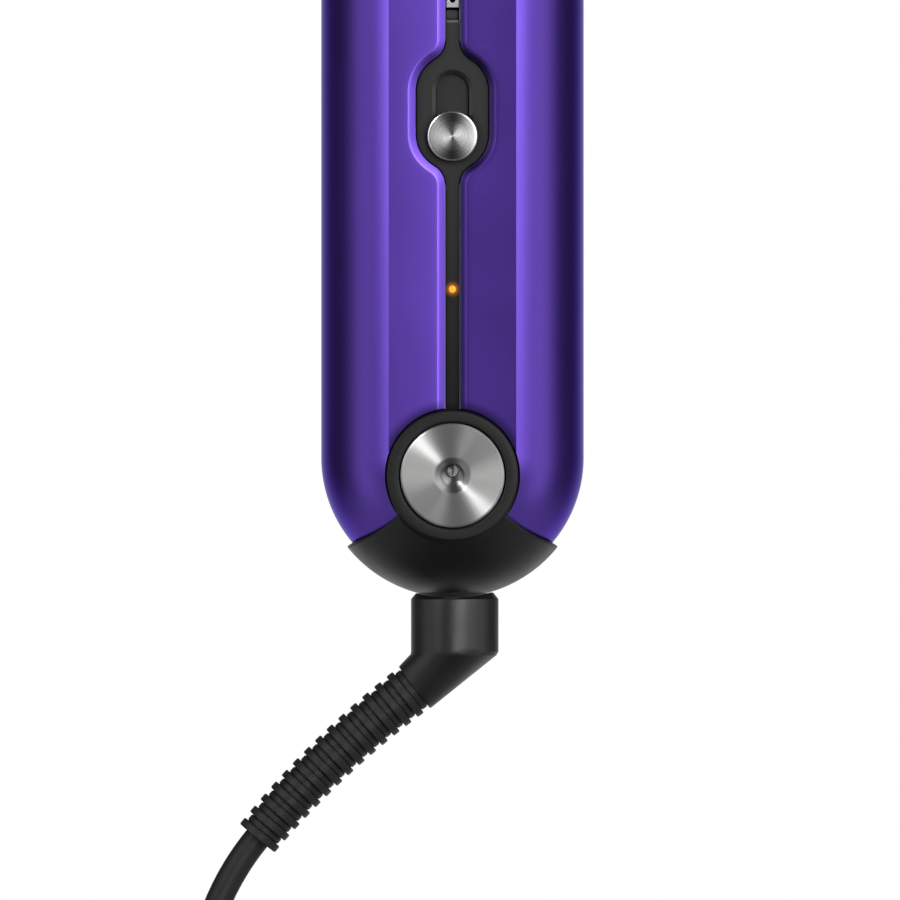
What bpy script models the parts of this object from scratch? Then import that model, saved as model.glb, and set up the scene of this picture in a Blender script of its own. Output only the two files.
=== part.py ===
"""Cordless hair straightener with a magnetic swivel charging lead.

The hinge axis lies along Y through the origin. The closed arms stand side by side in X with
their tips towards +Z, and the charging lead hangs from the bowl-shaped cap below the hinge.
Run it with: blender --background --python part.py
"""

import math

import bmesh
import bpy
from mathutils import Matrix, Vector

MM = 0.001

# Closed body: a thick rounded plate, split down the middle into two arms.
HALF_THICKNESS = 24.0 * MM
FLAT_Y = 19.0 * MM
CREASE_X = 11.6 * MM
TIP_Z = 269.6 * MM
TIP_CORNER = 16.0 * MM
LOWER_CENTRE_Z = 3.2 * MM
WALL = 1.5 * MM
SEAM_HALF = 1.35 * MM
FLANK_CENTRE = (HALF_THICKNESS**2 - CREASE_X**2 - FLAT_Y**2) / (2 * (HALF_THICKNESS - CREASE_X))
FLANK_RADIUS = HALF_THICKNESS - FLANK_CENTRE

# Black spine with the lock's pod, lying in the bevelled seam.
SPINE_HALF = 1.2 * MM
SPINE_LOW_Z = 12.4 * MM
SPINE_TOP_Z = 82.8 * MM
SPINE_FACE_Y = 17.85 * MM
SPINE_BACK_Y = 14.2 * MM
SPINE_GAP = SEAM_HALF - SPINE_HALF
SEAM_BEVEL = 1.36 * MM
SEAM_BEVEL_DEPTH = 0.36 * MM
POD_RADIUS = 6.55 * MM
POD_LOW_Z = 62.1 * MM
POD_HIGH_Z = 69.9 * MM
NECK_RADIUS = 4.2 * MM
LIGHT_Z = 33.9 * MM

# Lock slider: rest is its low end.
LOCK_Z = 61.7 * MM
LOCK_TRAVEL = 8.4 * MM
SLOT_HALF = 3.1 * MM
KNOB_RADIUS = 4.55 * MM

# Controls on the arms' outer faces.
DISPLAY_LOW_Z = 101.0 * MM
DISPLAY_HIGH_Z = 109.0 * MM
DISPLAY_RADIUS = 4.7 * MM
BUTTON_Y = {"plus_button": -4.4 * MM, "minus_button": 4.4 * MM}
BUTTON_Z = 91.5 * MM
BUTTON_RADIUS = 2.8 * MM
POWER_Z = 100.0 * MM
POWER_RADIUS = 4.0 * MM
CONTROL_GAP = 0.15 * MM
CONTROL_SIDES = 24

# Hinge, about the Y axis.
HINGE_HOLE = 12.3 * MM
CHEEK_RADIUS = 11.9 * MM
CHEEK_IN_Y = 14.8 * MM
CHEEK_OUT_Y = 16.6 * MM
AXLE_RADIUS = 2.5 * MM
BUSH_RADIUS = 3.5 * MM
LUG_RADIUS = 7.3 * MM
LUG_BANDS = {"left": ((-14.2, -9.6), (4.6, 9.0)), "right": ((-9.0, -4.6), (9.6, 14.2))}
RUNNING_GAP = 0.06 * MM
LINER_SCREW_Z = 24.0 * MM

# Lithium cells, two in each arm.
CELL_X = 11.0 * MM
CELL_Y = {"front": -7.35 * MM, "rear": 7.35 * MM}

# Bowl below the hinge: it covers the arms' lower ends.
BOWL_CENTRE_Z = 2.27 * MM
BOWL_RADIUS = 24.63 * MM
BOWL_FLANK_RADIUS = 22.2 * MM
BOWL_FLAT_Y = 19.6 * MM
BOWL_CLEARANCE = 0.55 * MM
SPLIT_Z = -1.44 * MM
SPLIT_SLOPE = 0.6
SPLIT_GAP = 0.12 * MM

# Heating plates.
PLATE_LOW_Z = 118.0 * MM
PLATE_HIGH_Z = 252.0 * MM
PLATE_HALF_Y = 13.0 * MM
PLATE_THICKNESS = 1.6 * MM
PLATE_GAP = 0.15 * MM
SLIT_COUNT = 13
SLIT_WIDTH = 0.5 * MM
SLIT_DEPTH = 2.6 * MM

# Charging lead, hanging below the bowl.
HEAD_RADIUS = 8.0 * MM
HEAD_TOP_Z = -21.65 * MM
HEAD_ELBOW_Z = -32.6 * MM
ELBOW_END = (-6.82 * MM, -38.7 * MM)
ELBOW_END_RADIUS = 4.8 * MM
LEAD_HEADING = math.radians(37.0)
BOOT_LENGTH = 40.1 * MM
BOOT_TURN = math.radians(13.5)
RIB_COUNT = 14
CABLE_RADIUS = 2.45 * MM
CABLE_BENDS = ((13.4 * MM, math.radians(16.0)), (26.0 * MM, math.radians(23.5)))
CABLE_BORE = 2.6 * MM
BOOT_SIDES = 14

FINE = 36
COARSE = 20

PURPLE = ("purple_lacquer", (0.13, 0.06, 0.42, 1), 0.32, 0.6)
BLACK = ("black_plastic", (0.025, 0.025, 0.027, 1), 0.45, 0.0)
RUBBER = ("black_rubber", (0.02, 0.02, 0.02, 1), 0.6, 0.0)
STEEL = ("turned_steel", (0.62, 0.62, 0.63, 1), 0.28, 1.0)
COPPER_ALLOY = ("plate_alloy", (0.66, 0.6, 0.55, 1), 0.25, 1.0)
BRASS = ("contact_brass", (0.8, 0.6, 0.3, 1), 0.3, 1.0)
BRONZE = ("bush_bronze", (0.55, 0.38, 0.2, 1), 0.4, 1.0)
NYLON = ("glass_filled_nylon", (0.06, 0.06, 0.065, 1), 0.55, 0.0)
CERAMIC = ("carrier_ceramic", (0.75, 0.72, 0.66, 1), 0.6, 0.0)
SILICONE = ("orange_silicone", (0.55, 0.2, 0.08, 1), 0.6, 0.0)
CELL_WRAP = ("cell_wrap", (0.05, 0.22, 0.3, 1), 0.35, 0.0)
BOARD = ("circuit_board", (0.02, 0.16, 0.07, 1), 0.4, 0.0)
GLASS = ("display_glass", (0.01, 0.01, 0.012, 1), 0.08, 0.0)
AMBER = ("amber_lens", (1.0, 0.45, 0.05, 1), 0.3, 0.0)
MAGNET = ("magnet", (0.35, 0.35, 0.37, 1), 0.35, 1.0)

SIDES = {"left": -1, "right": 1}


def clear_scene():
    for obj in list(bpy.data.objects):
        bpy.data.objects.remove(obj, do_unlink=True)


def new_collection(name):
    collection = bpy.data.collections.new(name)
    bpy.context.scene.collection.children.link(collection)
    return collection


def material(finish):
    name, colour, roughness, metallic = finish
    found = bpy.data.materials.get(name)
    if found:
        return found
    made = bpy.data.materials.new(name)
    made.use_nodes = True
    shader = made.node_tree.nodes["Principled BSDF"]
    shader.inputs["Base Color"].default_value = colour
    shader.inputs["Roughness"].default_value = roughness
    shader.inputs["Metallic"].default_value = metallic
    made.diffuse_color = colour
    return made


def add_object(name, mesh, finish=None):
    """An object for a part, or for a cutter when it has no finish."""
    obj = bpy.data.objects.new(name, mesh)
    if finish is None:
        CUTTERS.objects.link(obj)
        obj.hide_render = True
        obj.display_type = "WIRE"
    else:
        PARTS.objects.link(obj)
        mesh.materials.append(material(finish))
    return obj


def mesh_of(bm, name):
    bmesh.ops.recalc_face_normals(bm, faces=bm.faces)
    mesh = bpy.data.meshes.new(name)
    bm.to_mesh(mesh)
    bm.free()
    if mesh.polygons:
        mesh.shade_smooth()
        mesh.set_sharp_from_angle(angle=math.radians(35))
    return mesh


def box(name, low, high, finish=None):
    """A box between two corners, given in millimetres."""
    low, high = Vector(low) * MM, Vector(high) * MM
    bm = bmesh.new()
    bmesh.ops.create_cube(bm, size=1)
    bmesh.ops.scale(bm, vec=high - low, verts=bm.verts)
    obj = add_object(name, mesh_of(bm, name), finish)
    obj.location = (low + high) / 2
    return obj


def cylinder(name, start, end, radius, finish=None, sides=COARSE):
    """A round bar between two points, in metres."""
    start, end = Vector(start), Vector(end)
    bm = bmesh.new()
    bmesh.ops.create_cone(
        bm, cap_ends=True, segments=sides, radius1=radius, radius2=radius, depth=(end - start).length
    )
    obj = add_object(name, mesh_of(bm, name), finish)
    obj.location = (start + end) / 2
    obj.rotation_euler = (end - start).to_track_quat("Z", "Y").to_euler()
    return obj


def turned(name, profile, finish=None, axis="Y", steps=COARSE, offset=(0, 0)):
    """A turned piece: (radius, height) points in millimetres, spun about Y or Z."""
    area = sum(
        a[0] * b[1] - b[0] * a[1] for a, b in zip(profile, profile[1:] + profile[:1], strict=True)
    )
    points = [Vector((r * MM, 0, h * MM)) for r, h in (profile if area < 0 else profile[::-1])]
    on_axis = min(r for r, _ in profile) < 1e-6
    edges = [(i, i + 1) for i in range(len(points) - 1)]
    if on_axis:
        start = next(i for i, p in enumerate(points) if p.x < 1e-9 and points[i - 1].x < 1e-9)
        points = points[start:] + points[:start]
    else:
        edges.append((len(points) - 1, 0))
    mesh = bpy.data.meshes.new(name)
    mesh.from_pydata(points, edges, [])
    obj = add_object(name, mesh, finish)
    screw = obj.modifiers.new("spin", "SCREW")
    screw.steps = screw.render_steps = steps
    screw.use_merge_vertices = True
    screw.merge_threshold = 0.01 * MM
    screw.use_smooth_shade = True
    if axis == "Y":
        obj.rotation_euler = (math.radians(-90), 0, 0)
    else:
        obj.location = (offset[0], offset[1], 0)
    return obj


def extruded(name, outline, low, high, finish=None, axis="Y"):
    """A flat outline given thickness. Along Y the outline is (x, z) points, along X it is (y, z)."""
    curve = bpy.data.curves.new(name, "CURVE")
    curve.dimensions = "2D"
    curve.fill_mode = "BOTH"
    curve.extrude = (high - low) / 2
    spline = curve.splines.new("POLY")
    spline.points.add(len(outline) - 1)
    for point, (u, v) in zip(spline.points, outline, strict=True):
        point.co = (u, v, 0, 1)
    spline.use_cyclic_u = True
    middle = (low + high) / 2
    if axis == "Y":
        place = Matrix(((1, 0, 0, 0), (0, 0, -1, middle), (0, 1, 0, 0), (0, 0, 0, 1)))
    else:
        place = Matrix(((0, 0, 1, middle), (1, 0, 0, 0), (0, 1, 0, 0), (0, 0, 0, 1)))
    return curve_to_mesh(name, curve, place, finish)


def curve_to_mesh(name, curve, place, finish):
    """Turns a curve into a welded mesh object, so that it can be cut or be a cutter."""
    source = bpy.data.objects.new(name + "_curve", curve)
    bpy.context.scene.collection.objects.link(source)
    source.matrix_world = place
    bpy.context.view_layer.update()
    evaluated = source.evaluated_get(bpy.context.evaluated_depsgraph_get())
    mesh = bpy.data.meshes.new_from_object(evaluated)
    bpy.data.objects.remove(source, do_unlink=True)
    bm = bmesh.new()
    bm.from_mesh(mesh)
    bmesh.ops.remove_doubles(bm, verts=bm.verts, dist=0.001 * MM)
    obj = add_object(name, mesh_of(bm, name), finish)
    obj.matrix_world = place
    return obj


def loft(name, rings, finish=None, closed=False):
    """A skin over rings of points that match one to one. Closed joins the last ring to the first."""
    bm = bmesh.new()
    grid = [[bm.verts.new(point) for point in ring] for ring in rings]
    for first, second in zip(grid, grid[1:] + (grid[:1] if closed else []), strict=False):
        for i, corner in enumerate(first):
            after = (i + 1) % len(first)
            bm.faces.new((corner, first[after], second[after], second[i]))
    if not closed:
        bm.faces.new(grid[0])
        bm.faces.new(grid[-1])
    return add_object(name, mesh_of(bm, name), finish)


def combine(obj, operation, *others):
    for other in others:
        boolean = obj.modifiers.new(f"{operation.lower()}_{other.name}", "BOOLEAN")
        boolean.operation = operation
        boolean.solver = "EXACT"
        boolean.object = other
    return obj


def cut(obj, *cutters):
    return combine(obj, "DIFFERENCE", *cutters)


def arc(centre, radius, start, end, steps):
    """Points on an arc in the outline plane. Angles in degrees, from the first axis."""
    angles = [math.radians(start + (end - start) * i / steps) for i in range(steps + 1)]
    return [(centre[0] + radius * math.cos(a), centre[1] + radius * math.sin(a)) for a in angles]


def capsule(centre_u, low, high, radius, steps=8):
    """An upright slot outline."""
    return arc((centre_u, high), radius, 0, 180, steps) + arc((centre_u, low), radius, 180, 360, steps)


def flank_profile(skin, steps=12):
    """(half width, y) points round the flank, a distance skin inside the outer surface."""
    radius = FLANK_RADIUS - skin
    edge = math.asin((FLAT_Y - skin) / radius)
    angles = [edge * (2 * i / steps - 1) for i in range(steps + 1)]
    return [(FLANK_CENTRE + radius * math.cos(a), radius * math.sin(a)) for a in angles]


def half_body(name, side, finish=None, skin=0.0, past_seam=2 * MM):
    """One arm's outer form, or a form inside it, carried a little past the middle plane."""
    sign = SIDES[side]
    rings = []
    for half_width, y in flank_profile(skin):
        inset = HALF_THICKNESS - half_width
        corner = (HALF_THICKNESS - TIP_CORNER, TIP_Z - TIP_CORNER)
        outline = [(-past_seam, TIP_Z - inset)]
        outline += arc(corner, TIP_CORNER - inset, 90, 0, 6)
        outline += arc((0, LOWER_CENTRE_Z), half_width, 0, -90, 9)
        outline += [(-past_seam, LOWER_CENTRE_Z - half_width)]
        rings.append([(sign * x, y, z) for x, z in outline])
    return loft(name, rings, finish)


def seam_side(extra, low, high):
    """The right edge of the spine and pod outline, bottom to top, grown outwards by extra."""
    half, pod, neck = SPINE_HALF + extra, POD_RADIUS + extra, NECK_RADIUS - extra
    rise = math.sqrt((pod + neck) ** 2 - (half + neck) ** 2)
    tilt = math.degrees(math.atan2(rise, half + neck))
    points = [(half, low)]
    points += arc((half + neck, POD_LOW_Z - rise), neck, 180, 180 - tilt, 4)
    points += arc((0, POD_LOW_Z), pod, -tilt, 0, 5)
    points += arc((0, POD_HIGH_Z), pod, 0, tilt, 5)
    points += arc((half + neck, POD_HIGH_Z + rise), neck, 180 + tilt, 180, 4)
    return points + [(half, high)]


def seam_ring(extra, low, high, y):
    right = seam_side(extra, low, high)
    return [(x, y, z) for x, z in right] + [(-x, y, z) for x, z in reversed(right)]


def straight_ring(half, low, high, y):
    return [(half, y, low), (half, y, high), (-half, y, high), (-half, y, low)]


def circle_ring(centre, across, radius, sides=COARSE):
    """A circle through the Y direction and the direction across, in the XZ plane."""
    angles = [2 * math.pi * i / sides for i in range(sides)]
    up = Vector((0, radius, 0))
    return [centre + across * radius * math.cos(a) + up * math.sin(a) for a in angles]


def make_cutters():
    """Cutters that several parts share."""
    tall = TIP_Z + 5 * MM
    above = 0.5 * MM
    slope = SEAM_BEVEL / SEAM_BEVEL_DEPTH
    troughs = {}
    levels = (
        (-FLAT_Y - above, SPINE_GAP + SEAM_BEVEL + above * slope),
        (-FLAT_Y + SEAM_BEVEL_DEPTH, SPINE_GAP),
        (-13.5 * MM, SPINE_GAP),
    )
    troughs["front_trough"] = loft(
        "front_trough", [seam_ring(extra, -5 * MM, tall, y) for y, extra in levels]
    )
    troughs["rear_trough"] = loft(
        "rear_trough", [straight_ring(SPINE_HALF + extra, -5 * MM, tall, -y) for y, extra in levels]
    )
    reach, far = 40 * MM, 60 * MM
    drop = SPLIT_SLOPE * reach
    for name, gap, end in (("below_split", SPLIT_GAP, -far), ("above_split", -SPLIT_GAP, far)):
        peak = SPLIT_Z + gap
        outline = [(0, peak), (reach, peak - drop), (reach, end), (-reach, end), (-reach, peak - drop)]
        troughs[name] = extruded(name, outline, -far / 2, far / 2)
    troughs["hinge_hole"] = cylinder(
        "hinge_hole", (0, -25 * MM, 0), (0, 25 * MM, 0), HINGE_HOLE, sides=FINE
    )
    return troughs


def arm_shell(side, cutters, holes):
    """The lacquered outer shell of one arm."""
    sign = SIDES[side]
    shell = half_body(side + "_shell", side, PURPLE)
    cavity = half_body(side + "_cavity", side, skin=WALL, past_seam=3 * MM)
    seam = SEAM_HALF / MM
    ends = sorted((sign * seam, -sign * 5))
    slab = box(side + "_seam_slab", (ends[0], -30, -40), (ends[1], 30, 290))
    cut(shell, cavity, slab, cutters["front_trough"], cutters["rear_trough"])
    return cut(shell, cutters["below_split"], cutters["hinge_hole"], *holes)


def arm_liner(side, cutters):
    """The flat inner casing of one arm, with its windows and pockets."""
    sign = SIDES[side]
    x = sorted((sign * SEAM_HALF / MM, sign * 2.95))
    liner = box(side + "_liner", (x[0], -18, 12.6), (x[1], 18, 280), NYLON)
    inner = half_body(side + "_liner_limit", side, skin=WALL + 0.25 * MM, past_seam=3 * MM)
    window = box(
        side + "_plate_window",
        (-5, -PLATE_HALF_Y / MM - 0.3, PLATE_LOW_Z / MM - 0.3),
        (5, PLATE_HALF_Y / MM + 0.3, PLATE_HIGH_Z / MM + 0.3),
    )
    lock_pocket = box(side + "_lock_pocket", (-3.5, -18.5, 56), (3.5, -14, 83.6))
    ends = (-6 * MM, 0, LINER_SCREW_Z), (6 * MM, 0, LINER_SCREW_Z)
    screw_hole = cylinder(side + "_liner_screw_hole", *ends, 2.1 * MM)
    combine(liner, "INTERSECT", inner)
    cut(liner, window, lock_pocket, screw_hole, cutters["front_trough"])
    if side == "right":
        cut(liner, box("keeper_pocket", (-1, -18, 84.8), (2.4, -10.7, 95.2)))
    return liner


def hinge_bracket(side):
    """The plate inside an arm with the two lugs that turn on the axle."""
    sign = SIDES[side]
    x = sorted((sign * 8.2, sign * 10.0))
    bracket = box(side + "_hinge_bracket", (x[0], -14.2, -3), (x[1], 14.2, 30), NYLON)
    bands = dict(zip(("front", "rear"), LUG_BANDS[side], strict=True))
    for end, (low, high) in bands.items():
        ends = (0, low * MM, 0), (0, high * MM, 0)
        lug = cylinder(f"{side}_lug_{end}", *ends, LUG_RADIUS, sides=32)
        web_x = sorted((sign * 9.0, sign * 3.0))
        web = box(f"{side}_web_{end}", (web_x[0], low, -2.8), (web_x[1], high, 6.5))
        combine(bracket, "UNION", lug, web)
    for end, (low, high) in bands.items():
        ends = (0, (low - 0.2) * MM, 0), (0, (high + 0.2) * MM, 0)
        cut(bracket, cylinder(f"{side}_lug_bore_{end}", *ends, BUSH_RADIUS + RUNNING_GAP, sides=32))
        bore_radius, outer = (AXLE_RADIUS + RUNNING_GAP) / MM, BUSH_RADIUS / MM
        ring = [(outer, high), (outer, low), (bore_radius, low), (bore_radius, high)]
        turned(f"{side}_bush_{end}", ring, BRONZE, steps=32)
    return bracket


def comb_outline():
    """A heating plate seen face on, with fine slits along both long edges."""
    span = PLATE_HIGH_Z - PLATE_LOW_Z
    pitch = span / (SLIT_COUNT + 1)
    edge = [(PLATE_HALF_Y, PLATE_LOW_Z)]
    for i in range(1, SLIT_COUNT + 1):
        middle = PLATE_LOW_Z + pitch * i
        low, high = middle - SLIT_WIDTH / 2, middle + SLIT_WIDTH / 2
        inner = PLATE_HALF_Y - SLIT_DEPTH
        edge += [(PLATE_HALF_Y, low), (inner, low), (inner, high), (PLATE_HALF_Y, high)]
    edge.append((PLATE_HALF_Y, PLATE_HIGH_Z))
    return edge + [(-y, z) for y, z in reversed(edge)]


def heating_stack(side):
    """Plate, film heater, ceramic carrier and silicone cushion of one arm, seam outwards."""
    sign = SIDES[side]
    low, high = sorted((sign * PLATE_GAP, sign * (PLATE_GAP + PLATE_THICKNESS)))
    extruded(side + "_plate", comb_outline(), low, high, COPPER_ALLOY, axis="X")

    def layer(name, near, far, half_y, low_z, high_z, finish=None):
        x = sorted((sign * near, sign * far))
        return box(name, (x[0], -half_y, low_z), (x[1], half_y, high_z), finish)

    layer(side + "_heater", 1.85, 2.35, 11.0, 121, 249, BOARD)
    carrier = layer(side + "_plate_carrier", 3.2, 6.5, 12.6, 116.5, 253.5, CERAMIC)
    cut(carrier, layer(side + "_cushion_pocket", 3.0, 5.0, 10.1, 121.9, 248.1))
    layer(side + "_plate_cushion", 3.25, 4.9, 10.0, 122, 248, SILICONE)


def battery_cells(side):
    """Two round cells, each with a raised cap at its upper end."""
    can, cap, edge = 7.0, 2.4, 0.5
    low, shoulder, high = 33.0, 82.2, 83.0
    profile = [(0, high), (cap, high), (cap, shoulder), (can - edge, shoulder), (can, shoulder - edge)]
    profile += [(can, low + edge), (can - edge, low), (0, low)]
    for end, y in CELL_Y.items():
        place = (SIDES[side] * CELL_X, y)
        turned(f"{side}_cell_{end}", profile, CELL_WRAP, axis="Z", steps=20, offset=place)


def liner_screw(side):
    """The countersunk screw that holds the liner to the hinge bracket."""
    sign = SIDES[side]

    def bar(name, near, far, radius, finish=None):
        ends = (sign * near * MM, 0, LINER_SCREW_Z), (sign * far * MM, 0, LINER_SCREW_Z)
        return cylinder(name, *ends, radius * MM, finish, COARSE if finish else 12)

    head = bar(side + "_liner_screw", 1.45, 2.6, 1.9, STEEL)
    combine(head, "UNION", bar(side + "_screw_shank", 2.4, 8.0, 1.0))
    x = sorted((sign * 1.2, sign * 2.1))
    z = LINER_SCREW_Z / MM
    return cut(head, box(side + "_screw_slot", (x[0], -0.35, z - 1.4), (x[1], 0.35, z + 1.4)))


def skin_piece(name, side, outline, finish, depth=WALL):
    """A piece that is flush with the shell, cut from the same curved skin."""
    piece = half_body(name, side, finish)
    sign = SIDES[side]
    inner = half_body(name + "_inside", side, skin=depth, past_seam=3 * MM)
    low, high = sorted((sign * 15 * MM, sign * 30 * MM))
    prism = extruded(name + "_prism", outline, low, high, axis="X")
    cut(piece, inner)
    return combine(piece, "INTERSECT", prism)


def round_outline(centre, radius):
    last = 360 - 360 / CONTROL_SIDES
    return arc(centre, radius, 0, last, CONTROL_SIDES - 1)


def controls():
    """Display window, two temperature buttons and the power button, with their holes in the shells."""
    display = (0, DISPLAY_LOW_Z, DISPLAY_HIGH_Z)
    skin_piece("display_window", "right", capsule(*display, DISPLAY_RADIUS, 6), GLASS)
    holes = {"right": {"display_hole": capsule(*display, DISPLAY_RADIUS + CONTROL_GAP, 6)}}
    for name, y in BUTTON_Y.items():
        skin_piece(name, "right", round_outline((y, BUTTON_Z), BUTTON_RADIUS), BLACK)
        outline = round_outline((y, BUTTON_Z), BUTTON_RADIUS + CONTROL_GAP)
        holes["right"][name + "_hole"] = outline
    skin_piece("power_button", "left", round_outline((0, POWER_Z), POWER_RADIUS), BLACK)
    outline = round_outline((0, POWER_Z), POWER_RADIUS + CONTROL_GAP)
    holes["left"] = {"power_button_hole": outline}
    box("display_panel", (19.6, -4.2, 97.5), (20.6, 4.2, 112.5), GLASS)
    box("control_board", (17.6, -8, 87), (19.2, 8, 115.5), BOARD)
    box("power_board", (-19.2, -8, 87), (-17.6, 8, 115.5), BOARD)
    cutters = {}
    for side, outlines in holes.items():
        low, high = sorted((SIDES[side] * 15 * MM, SIDES[side] * 30 * MM))
        cutters[side] = [extruded(name, o, low, high, axis="X") for name, o in outlines.items()]
    return cutters


def front_spine():
    """The black strip with the lock's pod, and the guide plate behind the slider."""
    rings = [seam_ring(0, SPINE_LOW_Z, SPINE_TOP_Z, y) for y in (-SPINE_FACE_Y, -SPINE_BACK_Y)]
    spine = loft("front_spine", rings, BLACK)
    hollow = box("pod_hollow", (-3.4, -16.95, 56.8), (3.4, -13.9, 84))
    outline = capsule(0, LOCK_Z, LOCK_Z + LOCK_TRAVEL, SLOT_HALF)
    slot = extruded("pod_slot", outline, -19 * MM, -16 * MM)
    light_hole = cylinder(
        "light_hole", (0, -19 * MM, LIGHT_Z), (0, -13 * MM, LIGHT_Z), 0.7 * MM, sides=16
    )
    cut(spine, hollow, slot, light_hole)
    cylinder("status_light", (0, -17.8 * MM, LIGHT_Z), (0, -14.6 * MM, LIGHT_Z), 0.62 * MM, AMBER, 16)
    box("upper_spine", (-1.2, -17.85, 95.5), (1.2, -14.2, 117.2), BLACK)
    box("rear_spine", (-1.2, 14.2, 12.4), (1.2, 17.85, 117.2), BLACK)
    box("lock_guide", (-3.2, -15.6, 57.2), (3.2, -14.4, 71.2), NYLON)


def lock_slider():
    """The knob, and the carriage whose bar reaches up towards the keeper."""
    knob_profile = [
        (0, -16.85), (2.3, -16.85), (2.3, -18.05), (4.2, -18.05), (4.55, -18.4),
        (4.55, -19.2), (4.3, -19.5), (0, -19.35),
    ]
    knob = turned("lock_knob", knob_profile, STEEL, steps=32)
    knob.location = (0, 0, LOCK_Z)
    carriage = box("lock_carriage", (-3.0, -16.75, 58.9), (3.0, -15.9, 73.1), NYLON)
    combine(carriage, "UNION", box("lock_bar", (-1.0, -16.55, 71.5), (1.0, -14.8, 84.7)))


def lock_keeper():
    """The steel catch on the right arm that the lock's bar runs in behind."""
    keeper = box("lock_keeper", (-1.1, -17.3, 85.1), (2.2, -16.7, 94.9), STEEL)
    combine(keeper, "UNION", box("keeper_flange", (1.6, -16.9, 85.1), (2.2, -11.0, 94.9)))
    hole = cylinder(
        "keeper_hole", (0, -18 * MM, 86.9 * MM), (0, -16 * MM, 86.9 * MM), 0.6 * MM, sides=16
    )
    return cut(keeper, hole)


def hinge_base():
    """Axle, chassis, spring, rings and discs."""

    def along_y(name, start, end, radius, finish=None, sides=FINE):
        return cylinder(name, (0, start, 0), (0, end, 0), radius, finish, sides)

    along_y("hinge_axle", -CHEEK_OUT_Y, CHEEK_OUT_Y, AXLE_RADIUS, STEEL, 32)
    chassis = along_y("hinge_chassis", -CHEEK_OUT_Y, -CHEEK_IN_Y, CHEEK_RADIUS, NYLON)
    rear_cheek = along_y("rear_cheek", CHEEK_IN_Y, CHEEK_OUT_Y, CHEEK_RADIUS)
    bridge = box("cheek_bridge", (-5, -16.5, -12.3), (5, 16.5, -8.6))
    foot = box("port_foot", (-4.5, -8.8, -18.4), (4.5, 8.8, -10))
    combine(chassis, "UNION", bridge, rear_cheek, foot)
    cut(chassis, along_y("axle_bore", -20 * MM, 20 * MM, AXLE_RADIUS + RUNNING_GAP, sides=32))
    hinge_spring()
    ring = [(12.2, 16.9), (12.0, 19.6), (11.3, 20.2), (10.0, 20.2), (9.75, 19.95), (9.75, 16.9)]
    disc = [(0, 17.0), (9.45, 17.0), (9.45, 19.8), (9.35, 19.9), (3.4, 19.8), (2.3, 19.0)]
    disc += [(1.9, 18.1), (0, 18.0)]
    for end, sign in (("front", -1), ("rear", 1)):
        turned(end + "_hinge_ring", [(r, sign * y) for r, y in ring], BLACK, steps=FINE)
        turned(end + "_hinge_disc", [(r, sign * y) for r, y in disc], STEEL, steps=FINE)


def hinge_spring():
    """The torsion spring round the axle that pushes the arms apart."""
    radius, rise, turns, per_turn = 4.3 * MM, 6.4 * MM, 4.5, 10
    count = int(turns * per_turn)
    points = []
    for i in range(count + 1):
        angle = 2 * math.pi * i / per_turn
        y = rise * (i / count - 0.5)
        points.append(Vector((radius * math.cos(angle), y, radius * math.sin(angle))))
    leg = Vector((0, 0, 7.0 * MM))
    points = [points[0] + leg] + points + [points[-1] + leg]
    wire("hinge_spring", points, 0.55 * MM, STEEL, resolution=1)


def wire(name, points, radius, finish, resolution=2):
    """A round wire through points."""
    curve = bpy.data.curves.new(name, "CURVE")
    curve.dimensions = "3D"
    curve.bevel_depth = radius
    curve.bevel_resolution = resolution
    curve.use_fill_caps = True
    spline = curve.splines.new("POLY")
    spline.points.add(len(points) - 1)
    for target, point in zip(spline.points, points, strict=True):
        target.co = (*point, 1)
    return curve_to_mesh(name, curve, Matrix.Identity(4), finish)


def bowl_cap(cutters):
    """The black bowl: a turned form about an axis along Y, hollow, open towards the arms."""
    centre = BOWL_RADIUS - BOWL_FLANK_RADIUS
    edge = math.asin(BOWL_FLAT_Y / BOWL_FLANK_RADIUS)
    steps = 11
    outer = [(0, BOWL_FLAT_Y / MM)]
    for i in range(steps + 1):
        angle = edge * (1 - 2 * i / steps)
        reach = centre + BOWL_FLANK_RADIUS * math.cos(angle)
        outer.append((reach / MM, BOWL_FLANK_RADIUS * math.sin(angle) / MM))
    outer.append((0, -BOWL_FLAT_Y / MM))
    bowl = turned("bowl_cap", outer, BLACK, steps=48)
    bowl.location = (0, 0, BOWL_CENTRE_Z)
    inside = [(0, (FLAT_Y + BOWL_CLEARANCE) / MM)]
    inside += [(r / MM, y / MM) for r, y in reversed(flank_profile(-BOWL_CLEARANCE, 10))]
    inside += [(0, -(FLAT_Y + BOWL_CLEARANCE) / MM)]
    hollow = turned("bowl_hollow", inside, steps=48)
    hollow.location = (0, 0, LOWER_CENTRE_Z)
    port_hole = cylinder("port_hole", (0, 0, -30 * MM), (0, 0, -15 * MM), 6.5 * MM, sides=FINE)
    return cut(bowl, hollow, cutters["above_split"], cutters["hinge_hole"], port_hole)


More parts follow.
